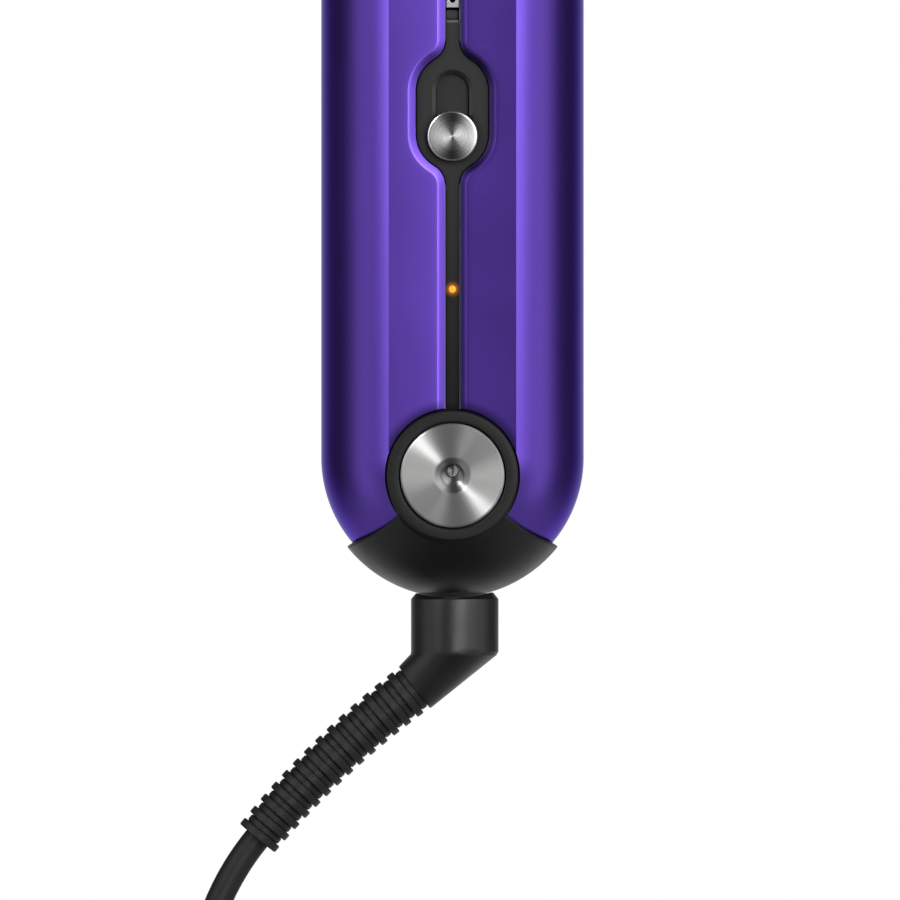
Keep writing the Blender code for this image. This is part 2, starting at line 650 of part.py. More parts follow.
def charge_port():
    """The insert in the bowl with two ring contacts and a magnet."""
    insert = [
        (0, -22.36), (1.1, -22.33), (1.1, -20.4), (2.3, -20.4), (2.3, -22.25), (4.1, -22.02),
        (4.1, -20.1), (5.3, -20.1), (5.3, -22.36), (5.6, -22.36), (6.3, -21.5), (6.3, -19.6), (7.6, -19.6),
        (7.6, -18.9), (3.85, -18.9), (3.85, -21.1), (2.55, -21.1), (2.55, -18.9), (0, -18.9),
    ]
    turned("charge_port", insert, BLACK, axis="Z", steps=24)

    def ring(name, inner, outer, low, high, finish):
        profile = [(inner, low), (outer, low), (outer, high), (inner, high)]
        turned(name, profile, finish, axis="Z")

    ring("port_inner_contact", 1.2, 2.2, -22.3, -20.5, BRASS)
    ring("port_outer_contact", 4.2, 5.2, -21.9, -20.2, BRASS)
    ring("port_magnet", 2.65, 3.75, -21.0, -19.0, MAGNET)
    ring("coupling_magnet", 2.45, 3.95, -26.5, -23.5, MAGNET)
    puck = [
        (0, -22.75), (3.0, -22.6), (4.6, -22.5), (6.1, -22.46), (6.1, -26.6), (4.05, -26.6), (4.05, -23.4),
        (2.35, -23.4), (2.35, -26.6), (0, -26.6),
    ]
    puck = turned("coupling_puck", puck, BLACK, axis="Z", steps=24)
    for name, x, top in (("inner_contact_pin", 1.7, -22.5), ("outer_contact_pin", 4.7, -22.1)):
        cylinder(name, (x * MM, 0, -25 * MM), (x * MM, 0, top * MM), 0.32 * MM, BRASS, 12)
        ends = (x * MM, 0, -27 * MM), (x * MM, 0, -21 * MM)
        cut(puck, cylinder(name + "_hole", *ends, 0.38 * MM, sides=12))


def walk(start, heading, bends, step=2.8 * MM):
    """Stations along a lead that turns evenly over each bend: (point, heading) pairs."""
    stations = [(Vector(start), heading)]
    for length, turn in bends:
        count = max(1, round(length / step))
        for _ in range(count):
            point, angle = stations[-1]
            middle = angle + turn / count / 2
            point = point + Vector((-math.cos(middle), 0, -math.sin(middle))) * (length / count)
            stations.append((point, angle + turn / count))
    return stations


def across(heading):
    return Vector((math.sin(heading), 0, -math.cos(heading)))


def lead_head():
    """The swivel head: a chamfered barrel that bends into a narrower neck."""
    level = Vector((1, 0, 0))
    end = Vector((ELBOW_END[0], 0, ELBOW_END[1]))
    ahead = Vector((-math.cos(LEAD_HEADING), 0, -math.sin(LEAD_HEADING)))
    rings = [
        circle_ring(Vector((0, 0, HEAD_TOP_Z)), level, HEAD_RADIUS - 0.9 * MM, 32),
        circle_ring(Vector((0, 0, HEAD_TOP_Z - 0.9 * MM)), level, HEAD_RADIUS, 32),
        circle_ring(Vector((0, 0, HEAD_ELBOW_Z)), level, HEAD_RADIUS, 32),
        circle_ring(end, across(LEAD_HEADING), ELBOW_END_RADIUS, 32),
    ]
    head = loft("lead_head", rings, BLACK)
    socket = cylinder("puck_socket", (0, 0, -27.2 * MM), (0, 0, -18 * MM), 6.25 * MM, sides=32)
    bore = cylinder("head_bore", end + ahead * MM, end - ahead * 14 * MM, CABLE_BORE, sides=16)
    cut(head, socket, bore)
    return end, ahead


def lead_boot(start):
    """The ribbed strain relief: a bent tube whose skin steps in and out."""
    first_rib, last_rib = 4.75 * MM, 4.15 * MM
    first_core, last_core = 4.1 * MM, 3.5 * MM
    lead_in = 0.2 * MM
    pitch = (BOOT_LENGTH - lead_in) / RIB_COUNT
    rib_share = 0.48
    marks = [(0.12 * MM, False)]
    for i in range(RIB_COUNT):
        top = lead_in + pitch * (i + 1 - rib_share)
        bottom = lead_in + pitch * (i + 1)
        marks += [(top, False), (top, True), (bottom, True)]
        if i < RIB_COUNT - 1:
            marks.append((bottom, False))
    outer, inner = [], []
    for along, is_rib in marks:
        share = along / BOOT_LENGTH
        heading = LEAD_HEADING + BOOT_TURN * share
        point = walk(start, LEAD_HEADING, ((along, BOOT_TURN * share),), 1.4 * MM)[-1][0]
        first, last = (first_rib, last_rib) if is_rib else (first_core, last_core)
        outer.append(circle_ring(point, across(heading), first + (last - first) * share, BOOT_SIDES))
        if not inner or along - inner[-1][1] > pitch * 0.7 or along > BOOT_LENGTH * 0.999:
            inner.append((circle_ring(point, across(heading), CABLE_BORE, BOOT_SIDES), along))
    loft("lead_boot", outer + [ring for ring, _ in reversed(inner)], RUBBER, closed=True)


def lead_cable(start, ahead):
    """The cable from inside the head, through the boot, down to the plug."""
    bends = ((BOOT_LENGTH, BOOT_TURN), *CABLE_BENDS)
    stations = walk(start, LEAD_HEADING, bends)
    points = [start - ahead * 4 * MM] + [point for point, _ in stations]
    end = points[-1]
    points.append(end + Vector((0, 0, -8 * MM)))
    wire("lead_cable", points, CABLE_RADIUS, RUBBER, resolution=2)
    return end


def lead_plug(end):
    """The small round plug at the lead's far end."""
    x, z = end.x, end.z / MM
    body = [
        (2.6, z - 3), (3.6, z - 3), (4.1, z - 12), (5.2, z - 14), (5.2, z - 24), (4.8, z - 25),
        (2.9, z - 25), (2.9, z - 18), (1.5, z - 18), (1.5, z - 9.5), (2.6, z - 9.5),
    ]
    tip = [(1.3, z - 19), (2.75, z - 19), (2.75, z - 34.4), (2.55, z - 34.6), (1.3, z - 34.6)]
    turned("lead_plug", body, BLACK, axis="Z", steps=20, offset=(x, 0))
    turned("lead_plug_tip", tip, STEEL, axis="Z", steps=16, offset=(x, 0))


clear_scene()
PARTS = new_collection("cordless_hair_straightener")
CUTTERS = new_collection("cutters")
CUTTERS.hide_render = True
shared = make_cutters()
shell_holes = controls()
for arm in SIDES:
    arm_shell(arm, shared, shell_holes[arm])
    arm_liner(arm, shared)
    hinge_bracket(arm)
    heating_stack(arm)
    battery_cells(arm)
    liner_screw(arm)
front_spine()
lock_slider()
lock_keeper()
hinge_base()
bowl_cap(shared)
charge_port()
elbow_end, lead_ahead = lead_head()
lead_boot(elbow_end)
plug_start = lead_cable(elbow_end, lead_ahead)
lead_plug(plug_start)
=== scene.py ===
"""Studio scene of the cordless hair straightener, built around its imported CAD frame.

Lengths are millimetres, apart from those of the softboxes, which are metres. The hinge axis is Y
through the origin, the closed arms point to +Z and the face with the lock looks to -Y.
"""

import math

import bmesh
import bpy
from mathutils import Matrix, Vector


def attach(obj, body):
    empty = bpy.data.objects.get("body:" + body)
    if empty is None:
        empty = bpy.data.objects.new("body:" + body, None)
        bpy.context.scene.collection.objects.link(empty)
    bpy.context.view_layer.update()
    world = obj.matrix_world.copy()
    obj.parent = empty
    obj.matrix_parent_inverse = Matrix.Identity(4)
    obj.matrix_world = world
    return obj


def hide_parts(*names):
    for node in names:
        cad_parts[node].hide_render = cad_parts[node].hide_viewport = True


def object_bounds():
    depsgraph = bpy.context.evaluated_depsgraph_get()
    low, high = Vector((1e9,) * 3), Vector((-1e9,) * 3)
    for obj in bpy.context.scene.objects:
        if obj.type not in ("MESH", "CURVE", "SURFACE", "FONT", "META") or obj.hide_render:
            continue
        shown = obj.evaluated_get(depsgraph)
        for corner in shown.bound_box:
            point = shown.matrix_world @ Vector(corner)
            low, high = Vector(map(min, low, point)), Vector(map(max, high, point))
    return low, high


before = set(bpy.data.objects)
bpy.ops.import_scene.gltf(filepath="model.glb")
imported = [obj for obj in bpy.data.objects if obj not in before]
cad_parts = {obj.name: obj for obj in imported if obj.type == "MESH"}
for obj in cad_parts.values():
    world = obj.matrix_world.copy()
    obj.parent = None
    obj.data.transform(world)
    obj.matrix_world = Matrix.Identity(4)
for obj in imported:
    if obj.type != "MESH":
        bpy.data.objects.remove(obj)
cad_low, cad_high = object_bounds()

MM = 0.001
SIDES = {"left": -1, "right": 1}
ROUND = 64

# Arms.
HALF_WIDTH = 24.0
FLAT_Y = 19.0
CREASE_X = 11.6
FLAT_LEAN = -0.03
TIP_Z = 269.6
TIP_CORNER = 16.0
LOWER_CENTRE_Z = 3.2
WALL = 1.4
SHELL_ANGLE = 20
FLANK_CENTRE = (HALF_WIDTH**2 - CREASE_X**2 - FLAT_Y**2) / (2 * (HALF_WIDTH - CREASE_X))
FLANK_RADIUS = HALF_WIDTH - FLANK_CENTRE
FLANK_STEPS = 44

# Seam, spine and pod.
SPINE_HALF = 1.2
SPINE_FLANGE = 0.12
SPINE_LOW_Z = 11.85
SPINE_BACK_LOW_Z = 12.4
SPINE_TOP_Z = 82.8
SPINE_FACE_Y = 17.85
SPINE_BACK_Y = 14.2
SEAM_GAP = 0.15
BEVEL_WIDTH = 1.36
BEVEL_DEPTH = 0.36
POD_RADIUS = 6.55
POD_LOW_Z = 62.1
POD_HIGH_Z = 69.9
NECK_RADIUS = 4.2
HOLLOW_HALF = 3.4
HOLLOW_Y = (-16.95, -13.9)
HOLLOW_Z = (56.8, 84.0)
PLAIN_SPINE_Z = (95.5, 117.2)
STRIP_HALF = 1.33

# Lock and status light.
SLOT_HALF = 3.0
SLOT_RIM = 3.7
SLOT_CHAMFER = 0.28
LOCK_Z = 61.7
LOCK_TRAVEL = 8.4
KNOB_RADIUS = 4.55
KNOB_NECK = 2.3
SLIDE_HALF = 3.0
SLIDE_Z = (58.9, 73.1)
SLIDE_Y = (-16.55, -15.9)
BAR_HALF = 1.15
BAR_TOP_Z = 84.7
KEEPER_Z = (85.1, 94.9)
KEEPER_HOLE_Z = 86.6
KEEPER_HOLE = 0.55
LIGHT_Z = 33.9
LENS_RADIUS = 0.66
LENS_GAP = 0.06

# Controls on the arms' outer faces.
DISPLAY_Z = (101.0, 109.0)
DISPLAY_RADIUS = 4.7
BUTTON_Y = {"plus_button": -4.4, "minus_button": 4.4}
BUTTON_Z = 91.5
BUTTON_RADIUS = 2.8
POWER_Z = 100.0
POWER_RADIUS = 4.0
CONTROL_GAP = 0.15
CONTROL_DEPTH = 1.5
BUTTON_PROUD = 0.12

# Hinge.
HINGE_HOLE = 12.3
SPLIT_Z = -1.44
SPLIT_SLOPE = 0.6
SPLIT_SAG = 0.5
SPLIT_GAP = 0.7
SAG_RANGE = (10.0, 18.6)
BOWL_CENTRE_Z = 2.27
BOWL_HOLE = 12.05
BOWL_EDGE = 12.65
BOWL_RADIUS = 24.63
BOWL_FLANK_RADIUS = 22.2
BOWL_WALL = 0.75
BOWL_ANGLE = 50
PORT_HOLE = 6.5
PIP_LIFT = 0.75

# Lead.
HEAD_RADIUS = 8.0
HEAD_SHIFT = 0.42
HEAD_MOUTH = 6.25
HEAD_FLOOR_Z = -27.1
HEAD_TOP_Z = -21.42
HEAD_CHAMFER_Z = -22.62
HEAD_ELBOW_Z = -32.6
MITRE_RISES = (6.0, 1.2, 0.4)
PIN_X = (1.7, 4.7)
PIN_HOLE = 0.38
ELBOW_END = Vector((-6.82, 0, -38.7))
ELBOW_END_RADIUS = 4.8
NECK_BORE = 2.7
LEAD_HEADING = math.radians(37.0)
BOOT_LENGTH = 40.1
BOOT_TURN = math.radians(13.5)
BOOT_LEAD_IN = 0.2
BOOT_BORE = 2.5
RIB_COUNT = 14
RIB_RADII = (4.75, 4.15)
RIB_STEPS = (
    (0.12, "groove"), (0.26, "band"), (1.12, "band"), (1.26, "groove"),
    (1.38, "groove"), (1.41, "soft"), (1.56, "rib"),
)
RIB_END_STEPS = ((-0.18, "rib"), (-0.03, "soft"), (0.0, "groove"))
CABLE_RADIUS = 2.45
CABLE_BENDS = ((13.4, math.radians(16.0)), (26.0, math.radians(23.5)))

# Studio.
LEAD_DROP = 16
FLOOR_Z = cad_low[2] / MM - LEAD_DROP
FLOOR_RADII = (0.5, 200, 600, 1500)
CAMERA_DISTANCE = 3000
CAMERA_X = -0.45
CAMERA_Z = 4.64
SHOWN_WIDTH = 163.6
TURNED_PIECES = ("front_disc_turned", "rear_disc_turned", "lock_knob_turned")
LEAD_PIECES = ("lead_head_moulded", "strain_relief_ribbed", "cable_round", "plug_moulded")


# --- outlines and meshes ---


def spread(start, end, count):
    return [start + (end - start) * i / count for i in range(count + 1)]


def circle(radius, steps):
    turns = [2 * math.pi * i / steps for i in range(steps)]
    return [(radius * math.cos(turn), radius * math.sin(turn)) for turn in turns]


def arc(centre, radius, start, end, steps):
    turns = [math.radians(angle) for angle in spread(start, end, steps)]
    return [(centre[0] + radius * math.cos(turn), centre[1] + radius * math.sin(turn)) for turn in turns]


def capsule(low, high, radius):
    return arc((0, high), radius, 0, 180, 24) + arc((0, low), radius, 180, 360, 24)


def round_outline(u, v, radius):
    return arc((u, v), radius, 0, 354, 59)


def mirrored(half):
    """An outline's +X half and its mirror image. Points on the middle line aren't doubled."""
    return half + [(-x, z) for x, z in reversed(half) if x > 0]


def filleted(points, radii, steps=5):
    """An open outline with its inner corners rounded. One radius for each point, or one for all."""
    result = []
    for i, corner in enumerate(points):
        radius = radii if isinstance(radii, float) else radii[i]
        if i == 0 or i == len(points) - 1 or radius <= 0:
            result.append(tuple(corner))
            continue
        here = Vector(corner)
        back = Vector(points[i - 1]) - here
        ahead = Vector(points[i + 1]) - here
        half = back.angle(ahead) / 2
        reach = min(radius / math.tan(half), back.length * 0.48, ahead.length * 0.48)
        start = here + back.normalized() * reach
        end = here + ahead.normalized() * reach
        for t in spread(0, 1, steps):
            point = start * (1 - t) ** 2 + here * 2 * t * (1 - t) + end * t**2
            result.append(tuple(point))
    return result


def skin(rows, wrap=False, cap=False, bm=None):
    """Quads over rows of points. Wrap closes each row, cap closes both ends."""
    if bm is None:
        bm = bmesh.new()
    grid = [[bm.verts.new(Vector(point) * MM) for point in row] for row in rows]
    for first, second in zip(grid, grid[1:]):
        count = len(first)
        for i in range(count if wrap else count - 1):
            j = (i + 1) % count
            bm.faces.new([first[i], first[j], second[j], second[i]])
    if cap:
        bm.faces.new(grid[0])
        bm.faces.new(grid[-1])
    return bm


def turned(profile, axis="Y", centre=(0, 0, 0), steps=ROUND, bm=None):
    """Spins (radius, height) points about Y or Z through a centre."""
    rows = []
    for radius, height in profile:
        row = []
        for u, v in circle(max(radius, 0.0005), steps):
            point = (u, height, v) if axis == "Y" else (u, v, height)
            row.append([a + b for a, b in zip(point, centre)])
        rows.append(row)
    return skin(rows, wrap=True, bm=bm)


def prism(axis, outline, low, high):
    """An outline drawn out along an axis. Its points are in the order of the other two axes."""
    place = "XYZ".index(axis)
    rows = [[(*point[:place], along, *point[place:]) for point in outline] for along in (low, high)]
    return skin(rows, wrap=True, cap=True)


# --- objects ---


def placed(name, data):
    """An object in the scene, from a mesh, a light, a camera or a bmesh, which is used up."""
    if isinstance(data, bmesh.types.BMesh):
        bm, data = data, bpy.data.meshes.new(name)
        bm.to_mesh(data)
        bm.free()
    obj = bpy.data.objects.new(name, data)
    bpy.context.scene.collection.objects.link(obj)
    return obj


def smooth(mesh, angle):
    """Smooth shading, with edges sharper than an angle kept."""
    mesh.shade_smooth()
    mesh.set_sharp_from_angle(angle=math.radians(angle))


def piece(name, bm, body, node, finish, inside=None, smooth_angle=38):
    """A shown piece that rides on a body and replaces a CAD node.

    An open sheet also needs a point inside it, so that its faces can be turned outward.
    """
    bmesh.ops.remove_doubles(bm, verts=bm.verts, dist=0.004 * MM)
    bmesh.ops.dissolve_degenerate(bm, edges=bm.edges, dist=0.001 * MM)
    bmesh.ops.recalc_face_normals(bm, faces=bm.faces)
    if inside is not None:
        facing = 0.0
        for face in bm.faces:
            away = face.calc_center_median() - Vector(inside) * MM
            facing += face.calc_area() * face.normal.dot(away.normalized())
        if facing < 0:
            bmesh.ops.reverse_faces(bm, faces=bm.faces)
    obj = placed(name, bm)
    smooth(obj.data, smooth_angle)
    obj.data.materials.append(finish)
    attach(obj, body)
    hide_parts(node)
    return obj


def cutter(name, bm):
    """A tool for boolean(), which removes it."""
    bmesh.ops.remove_doubles(bm, verts=bm.verts, dist=0.002 * MM)
    bmesh.ops.recalc_face_normals(bm, faces=bm.faces)
    return placed(name, bm)


def drill(name, radius, low, high, axis="Y", centre=(0, 0, 0), steps=32):
    """A round cutter."""
    return cutter(name, turned([(0, low), (radius, low), (radius, high), (0, high)], axis, centre, steps))


def boolean(obj, operation, *cutters, smooth_angle=38):
    """Cuts or trims an object, and applies the modifiers that it already has."""
    for tool in cutters:
        modifier = obj.modifiers.new(tool.name, "BOOLEAN")
        modifier.operation = operation
        modifier.solver = "EXACT"
        modifier.object = tool
    bpy.context.view_layer.update()
    evaluated = obj.evaluated_get(bpy.context.evaluated_depsgraph_get())
    old = obj.data
    mesh = bpy.data.meshes.new_from_object(evaluated)
    obj.modifiers.clear()
    obj.data = mesh
    bpy.data.meshes.remove(old)
    smooth(mesh, smooth_angle)
    for tool in cutters:
        bpy.data.objects.remove(tool, do_unlink=True)


def thicken(obj, wall):
    modifier = obj.modifiers.new("wall", "SOLIDIFY")
    modifier.thickness = wall * MM
    modifier.offset = -1
    modifier.use_even_offset = True


def round_edges(obj, width, segments=3, angle=40):
    modifier = obj.modifiers.new("soft_edges", "BEVEL")
    modifier.width = width * MM
    modifier.segments = segments
    modifier.limit_method = "ANGLE"
    modifier.angle_limit = math.radians(angle)
    modifier.harden_normals = True


# --- arms ---


def flank_point(angle, extra=0.0):
    radius = FLANK_RADIUS + extra
    return FLANK_CENTRE + radius * math.cos(angle), radius * math.sin(angle)


def flank_row(start_width):
    """(half width, y) from the front edge of the flank round to the rear edge."""
    edge = math.acos((max(start_width, CREASE_X) - FLANK_CENTRE) / FLANK_RADIUS)
    ease = math.radians(0.6)
    angles = spread(-edge, edge, FLANK_STEPS)
    angles.insert(1, -edge + ease)
    angles.insert(-1, edge - ease)
    return [flank_point(angle) for angle in angles]


def flat_depth(x):
    return FLAT_Y + FLAT_LEAN * (CREASE_X - x)


def level_seam(z):
    """A seam station beside the plain spine. A station turns the extra distance out into (x, z)."""
    return lambda extra: (SPINE_HALF + extra, z)


def curved_seam(centre, radius, grows, angle):
    """A seam station on the pod or on one of its necks."""
    turn = math.radians(angle)

    def station(extra):
        r = radius + grows * extra
        return centre[0] + r * math.cos(turn), centre[1] + r * math.sin(turn)

    return station


def hole_seam(radius):
    """The seam station on a circle round the hinge."""
    return lambda extra: (SPINE_HALF + extra, math.sqrt(radius**2 - (SPINE_HALF + extra) ** 2))


def outline_stations():
    """The seam's stations from bottom to top, with the pod's outline."""
    side = SPINE_HALF + NECK_RADIUS
    rise = math.sqrt((POD_RADIUS + NECK_RADIUS) ** 2 - side**2)
    tilt = math.degrees(math.atan2(rise, side))
    low_neck, high_neck = POD_LOW_Z - rise, POD_HIGH_Z + rise
    stations = [level_seam(z) for z in spread(18, low_neck - 1, 12)]
    for centre, radius, grows, angles in (
        ((side, low_neck), NECK_RADIUS, -1, spread(180, 180 - tilt, 10)),
        ((0, POD_LOW_Z), POD_RADIUS, 1, spread(-tilt, 0, 10)[1:]),
        ((0, POD_HIGH_Z), POD_RADIUS, 1, spread(0, tilt, 10)),
        ((side, high_neck), NECK_RADIUS, -1, spread(180 + tilt, 180, 10)[1:]),
    ):
        stations += [curved_seam(centre, radius, grows, angle) for angle in angles]
    stations += [level_seam(z) for z in spread(high_neck + 1.5, TIP_Z - TIP_CORNER, 36)]
    return stations


BEVEL_LEVELS = filleted(
    [
        (SEAM_GAP + BEVEL_WIDTH + 1.2, 0.0),
        (SEAM_GAP + BEVEL_WIDTH, 0.0),
        (SEAM_GAP, BEVEL_DEPTH),
        (SEAM_GAP, 1.6),
    ],
    (0, 0.9, 0.12, 0),
    4,
)
EDGE_EXTRA = BEVEL_LEVELS[0][0]
HOLE_OFFSETS = (3.4, 2.6, 2.0, 1.6, 1.3, 1.0, 0.8, 0.6, 0.4, 0.25, 0.12, 0.0)
FLAT_SHARES = (0.16, 0.32, 0.48, 0.64, 0.8, 0.975, 1.0)


def flat_row(face, seam, crease_x, hole=None):
    """A row from the bevel's bottom out to the crease: level, or on a circle round the hinge."""
    row = []
    for extra, depth in reversed(BEVEL_LEVELS):
        x, z = seam(extra)
        row.append((x, face * (flat_depth(x) - depth), z))
    start_x, _, start_z = row[-1]
    for share in FLAT_SHARES:
        x = start_x + (crease_x - start_x) * share
        z = math.sqrt(hole**2 - x**2) if hole else start_z
        row.append((x, face * flat_depth(x), z))
    return row


def flat_rows(face):
    """Rows over a flat side, from the hinge hole up to the rounded tip."""
    rows = []
    for offset in reversed(HOLE_OFFSETS):
        hole = HINGE_HOLE + offset
        rows.append(flat_row(face, hole_seam(hole), CREASE_X, hole))
    for station in outline_stations():
        seam = station if face < 0 else level_seam(station(EDGE_EXTRA)[1])
        rows.append(flat_row(face, seam, CREASE_X))
    corner = TIP_CORNER - (HALF_WIDTH - CREASE_X)
    for x, z in arc((HALF_WIDTH - TIP_CORNER, TIP_Z - TIP_CORNER), corner, 0, 90, 6)[1:]:
        rows.append(flat_row(face, level_seam(z), x))
    return rows


def flank_rows(crease_heights):
    """Rows over the tip, down the outer face and under the hinge, each from the front to the rear."""
    top_x = HALF_WIDTH - TIP_CORNER
    corner_z = TIP_Z - TIP_CORNER
    plain_row = flank_row(CREASE_X)
    rows = []
    for x in spread(SPINE_HALF + EDGE_EXTRA, top_x, 7):
        rows.append([(x, y, TIP_Z - HALF_WIDTH + w) for w, y in plain_row])
    for angle in spread(90, 0, 6)[1:-1]:
        turn = math.radians(angle)
        row = []
        for w, y in plain_row:
            radius = w - top_x
            row.append((top_x + radius * math.cos(turn), y, corner_z + radius * math.sin(turn)))
        rows.append(row)
    straight = [z for z in crease_heights if z <= corner_z + 0.001]
    for z in reversed(straight):
        rows.append([(w, y, z) for w, y in plain_row])
    for z in spread(straight[0], LOWER_CENTRE_Z, 3)[1:]:
        hole = math.sqrt(HINGE_HOLE**2 - z**2)
        rows.append([(w, y, z) for w, y in flank_row(hole)])
    for angle in spread(0, 62, 31)[1:]:
        turn = math.radians(angle)
        hole = hole_reach(turn, LOWER_CENTRE_Z, HINGE_HOLE)
        row = flank_row(hole)
        rows.append([(w * math.cos(turn), y, LOWER_CENTRE_Z - w * math.sin(turn)) for w, y in row])
    return rows


def hole_reach(turn, centre_z, radius):
    """Distance from a centre above the hinge to the hinge's hole, at a turn below the level."""
    lift = centre_z * math.sin(turn)
    return lift + math.sqrt(lift**2 + radius**2 - centre_z**2)


def dome_edge(first_row):
    """The seam bevel over the arm's tip."""
    edge = math.acos((CREASE_X - FLANK_CENTRE) / FLANK_RADIUS)
    rows = []
    for _, y, z in first_row:
        angle = math.asin(max(-1, min(1, y / FLANK_RADIUS)))
        angle = max(-edge, min(edge, angle))
        blend = max(0.0, (abs(angle) / edge - 0.93) / 0.07)
        up = math.cos(angle) * (1 - blend)
        out = math.sin(angle) + (math.copysign(1, y) - math.sin(angle)) * blend
        rows.append([(SPINE_HALF + extra, y - out * depth, z - up * depth) for extra, depth in BEVEL_LEVELS])
    return rows


def shell_sheet(sign):
    """The arm's outside, as an open sheet."""
    front, rear = flat_rows(-1), flat_rows(1)
    flank = flank_rows([row[-1][2] for row in front])
    bm = bmesh.new()
    for rows in (front, rear, flank, dome_edge(flank[0])):
        skin([[(sign * x, y, z) for x, y, z in row] for row in rows], bm=bm)
    return bm


def flank_slab(side, low_z, high_z, half_y, proud):
    """A curved block that follows the arm's outer face."""
    sign = SIDES[side]
    edge = math.asin(half_y / FLANK_RADIUS)
    outline = [flank_point(angle, proud) for angle in spread(-edge, edge, 24)]
    outline += [flank_point(angle, -CONTROL_DEPTH) for angle in spread(edge, -edge, 24)]
    rows = [[(sign * w, y, z) for w, y in outline] for z in spread(low_z, high_z, 14)]
    return skin(rows, wrap=True, cap=True)


def flank_cutter(name, outline, side):
    """A cutter through the arm's outer face, with a (y, z) outline."""
    return cutter(name, prism("X", outline, SIDES[side] * 14, SIDES[side] * 32))


def split_height(x):
    """Height of the line where the arms end and the bowl begins."""
    share = min(1, max(0, (abs(x) - SAG_RANGE[0]) / (SAG_RANGE[1] - SAG_RANGE[0])))
    return SPLIT_Z - SPLIT_SLOPE * abs(x) - SPLIT_SAG * 4 * share * (1 - share)


def split_cutter():
    """Everything more than a gap below the split line."""
    half = [(x, split_height(x) - SPLIT_GAP) for x in [0.0] + spread(*SAG_RANGE, 16) + [40.0]]
    return cutter("below", prism("Y", mirrored(half + [(40.0, -60)]), -30, 30))


# --- materials ---


class Nodes:
    """Short names for the node steps that the materials, the world and the lights share."""

    def __init__(self, tree):
        self.tree = tree

    def node(self, kind, inputs=(), **settings):
        """A node with its settings and a dict of its inputs."""
        made = self.tree.nodes.new("ShaderNode" + kind)
        for key, value in settings.items():
            setattr(made, key, value)
        for slot, value in dict(inputs).items():
            self.feed(made.inputs[slot], value)
        return made

    def feed(self, slot, value):
        """Gives an input a value, a colour or another node's output."""
        if isinstance(value, bpy.types.NodeSocket):
            self.tree.links.new(value, slot)
        else:
            slot.default_value = (*value, 1) if slot.type == "RGBA" else value

    def maths(self, operation, *values):
        return self.node("Math", enumerate(values), operation=operation).outputs["Value"]

    def plus(self, first, second):
        return self.maths("ADD", first, second)

    def minus(self, first, second):
        return self.maths("SUBTRACT", first, second)

    def times(self, first, second):
        return self.maths("MULTIPLY", first, second)

    def absolute(self, source):
        return self.maths("ABSOLUTE", source)

    def distance(self, first, second):
        squares = self.plus(self.times(first, first), self.times(second, second))
        return self.maths("SQRT", squares)

    def where(self, factor, mask):
        """The factor where the mask is 1, and 1 where it is 0."""
        return self.plus(self.times(self.minus(factor, 1.0), mask), 1.0)

    def split(self, source):
        node = self.node("SeparateXYZ", {"Vector": source})
        return [node.outputs[axis] for axis in "XYZ"]

    def span(self, source, low, high, start=0.3, end=0.7, ease="LINEAR"):
        """From low to high as the source goes from start to end."""
        inputs = {"Value": source, "From Min": start, "From Max": end, "To Min": low, "To Max": high}
        return self.node("MapRange", inputs, interpolation_type=ease).outputs["Result"]

    def along(self, source, low, high, start, end):
        """From low to high as a distance goes from start to end, in millimetres."""
        return self.span(source, low, high, start * MM, end * MM)

    def mix(self, factor, first, second, blend_type="MIX"):
        inputs = {"Fac": factor, "Color1": first, "Color2": second}
        return self.node("MixRGB", inputs, blend_type=blend_type).outputs["Color"]

    def ramp(self, factor, stops, interpolation="LINEAR"):
        """Colours along a factor. A stop is a place from 0 to 1 and a colour."""
        node = self.node("ValToRGB", {"Fac": factor})
        node.color_ramp.interpolation = interpolation
        elements = node.color_ramp.elements
        while len(elements) < len(stops):
            elements.new(0.5)
        for element, (place, colour) in zip(elements, stops):
            element.position = place
            element.color = (*colour, 1)
        return node.outputs["Color"]

    def show(self, factor, first, second, output):
        """Blends two shaders into the tree's output."""
        blend = self.node("MixShader", enumerate((factor, first, second)))
        self.feed(output.inputs["Surface"], blend.outputs["Shader"])


class Finish(Nodes):
    """A material built on a Principled shader."""

    def __init__(self, name, colour, roughness, metallic=0.0, **inputs):
        self.material = bpy.data.materials.new(name)
        self.material.use_nodes = True
        self.material.diffuse_color = (*colour, 1)
        super().__init__(self.material.node_tree)
        self.colour = colour
        self.shader = self.tree.nodes["Principled BSDF"]
        self.place = self.node("TexCoord").outputs["Object"]
        self.use(base_color=colour, roughness=roughness, metallic=metallic, **inputs)

    def use(self, **inputs):
        """Sets the shader's inputs to values or to other nodes' outputs."""
        for key, value in inputs.items():
            name = key.replace("_", " ").title().replace("Ior", "IOR")
            self.feed(self.shader.inputs[name], value)
        return self.material

    def noise(self, scale, detail=3.0):
        inputs = {"Vector": self.place, "Scale": scale, "Detail": detail, "Roughness": 0.55}
        return self.node("TexNoise", inputs).outputs["Fac"]

    def tint(self, factor, amount):
        """Varies the base colour with a texture, by a share of its brightness."""
        dark = [c * (1 - amount) for c in self.colour]
        light = [min(1.0, c * (1 + amount)) for c in self.colour]
        return self.ramp(factor, ((0.3, dark), (0.7, light)))

    def worn(self, colour, light, amount):
        """Lightens raised edges."""
        edges = self.span(self.node("NewGeometry").outputs["Pointiness"], 0.0, amount, 0.505, 0.56)
        return self.mix(edges, colour, light)

    def bump(self, source, strength, distance):
        inputs = {"Strength": strength, "Distance": distance * MM, "Height": source}
        return self.node("Bump", inputs).outputs["Normal"]


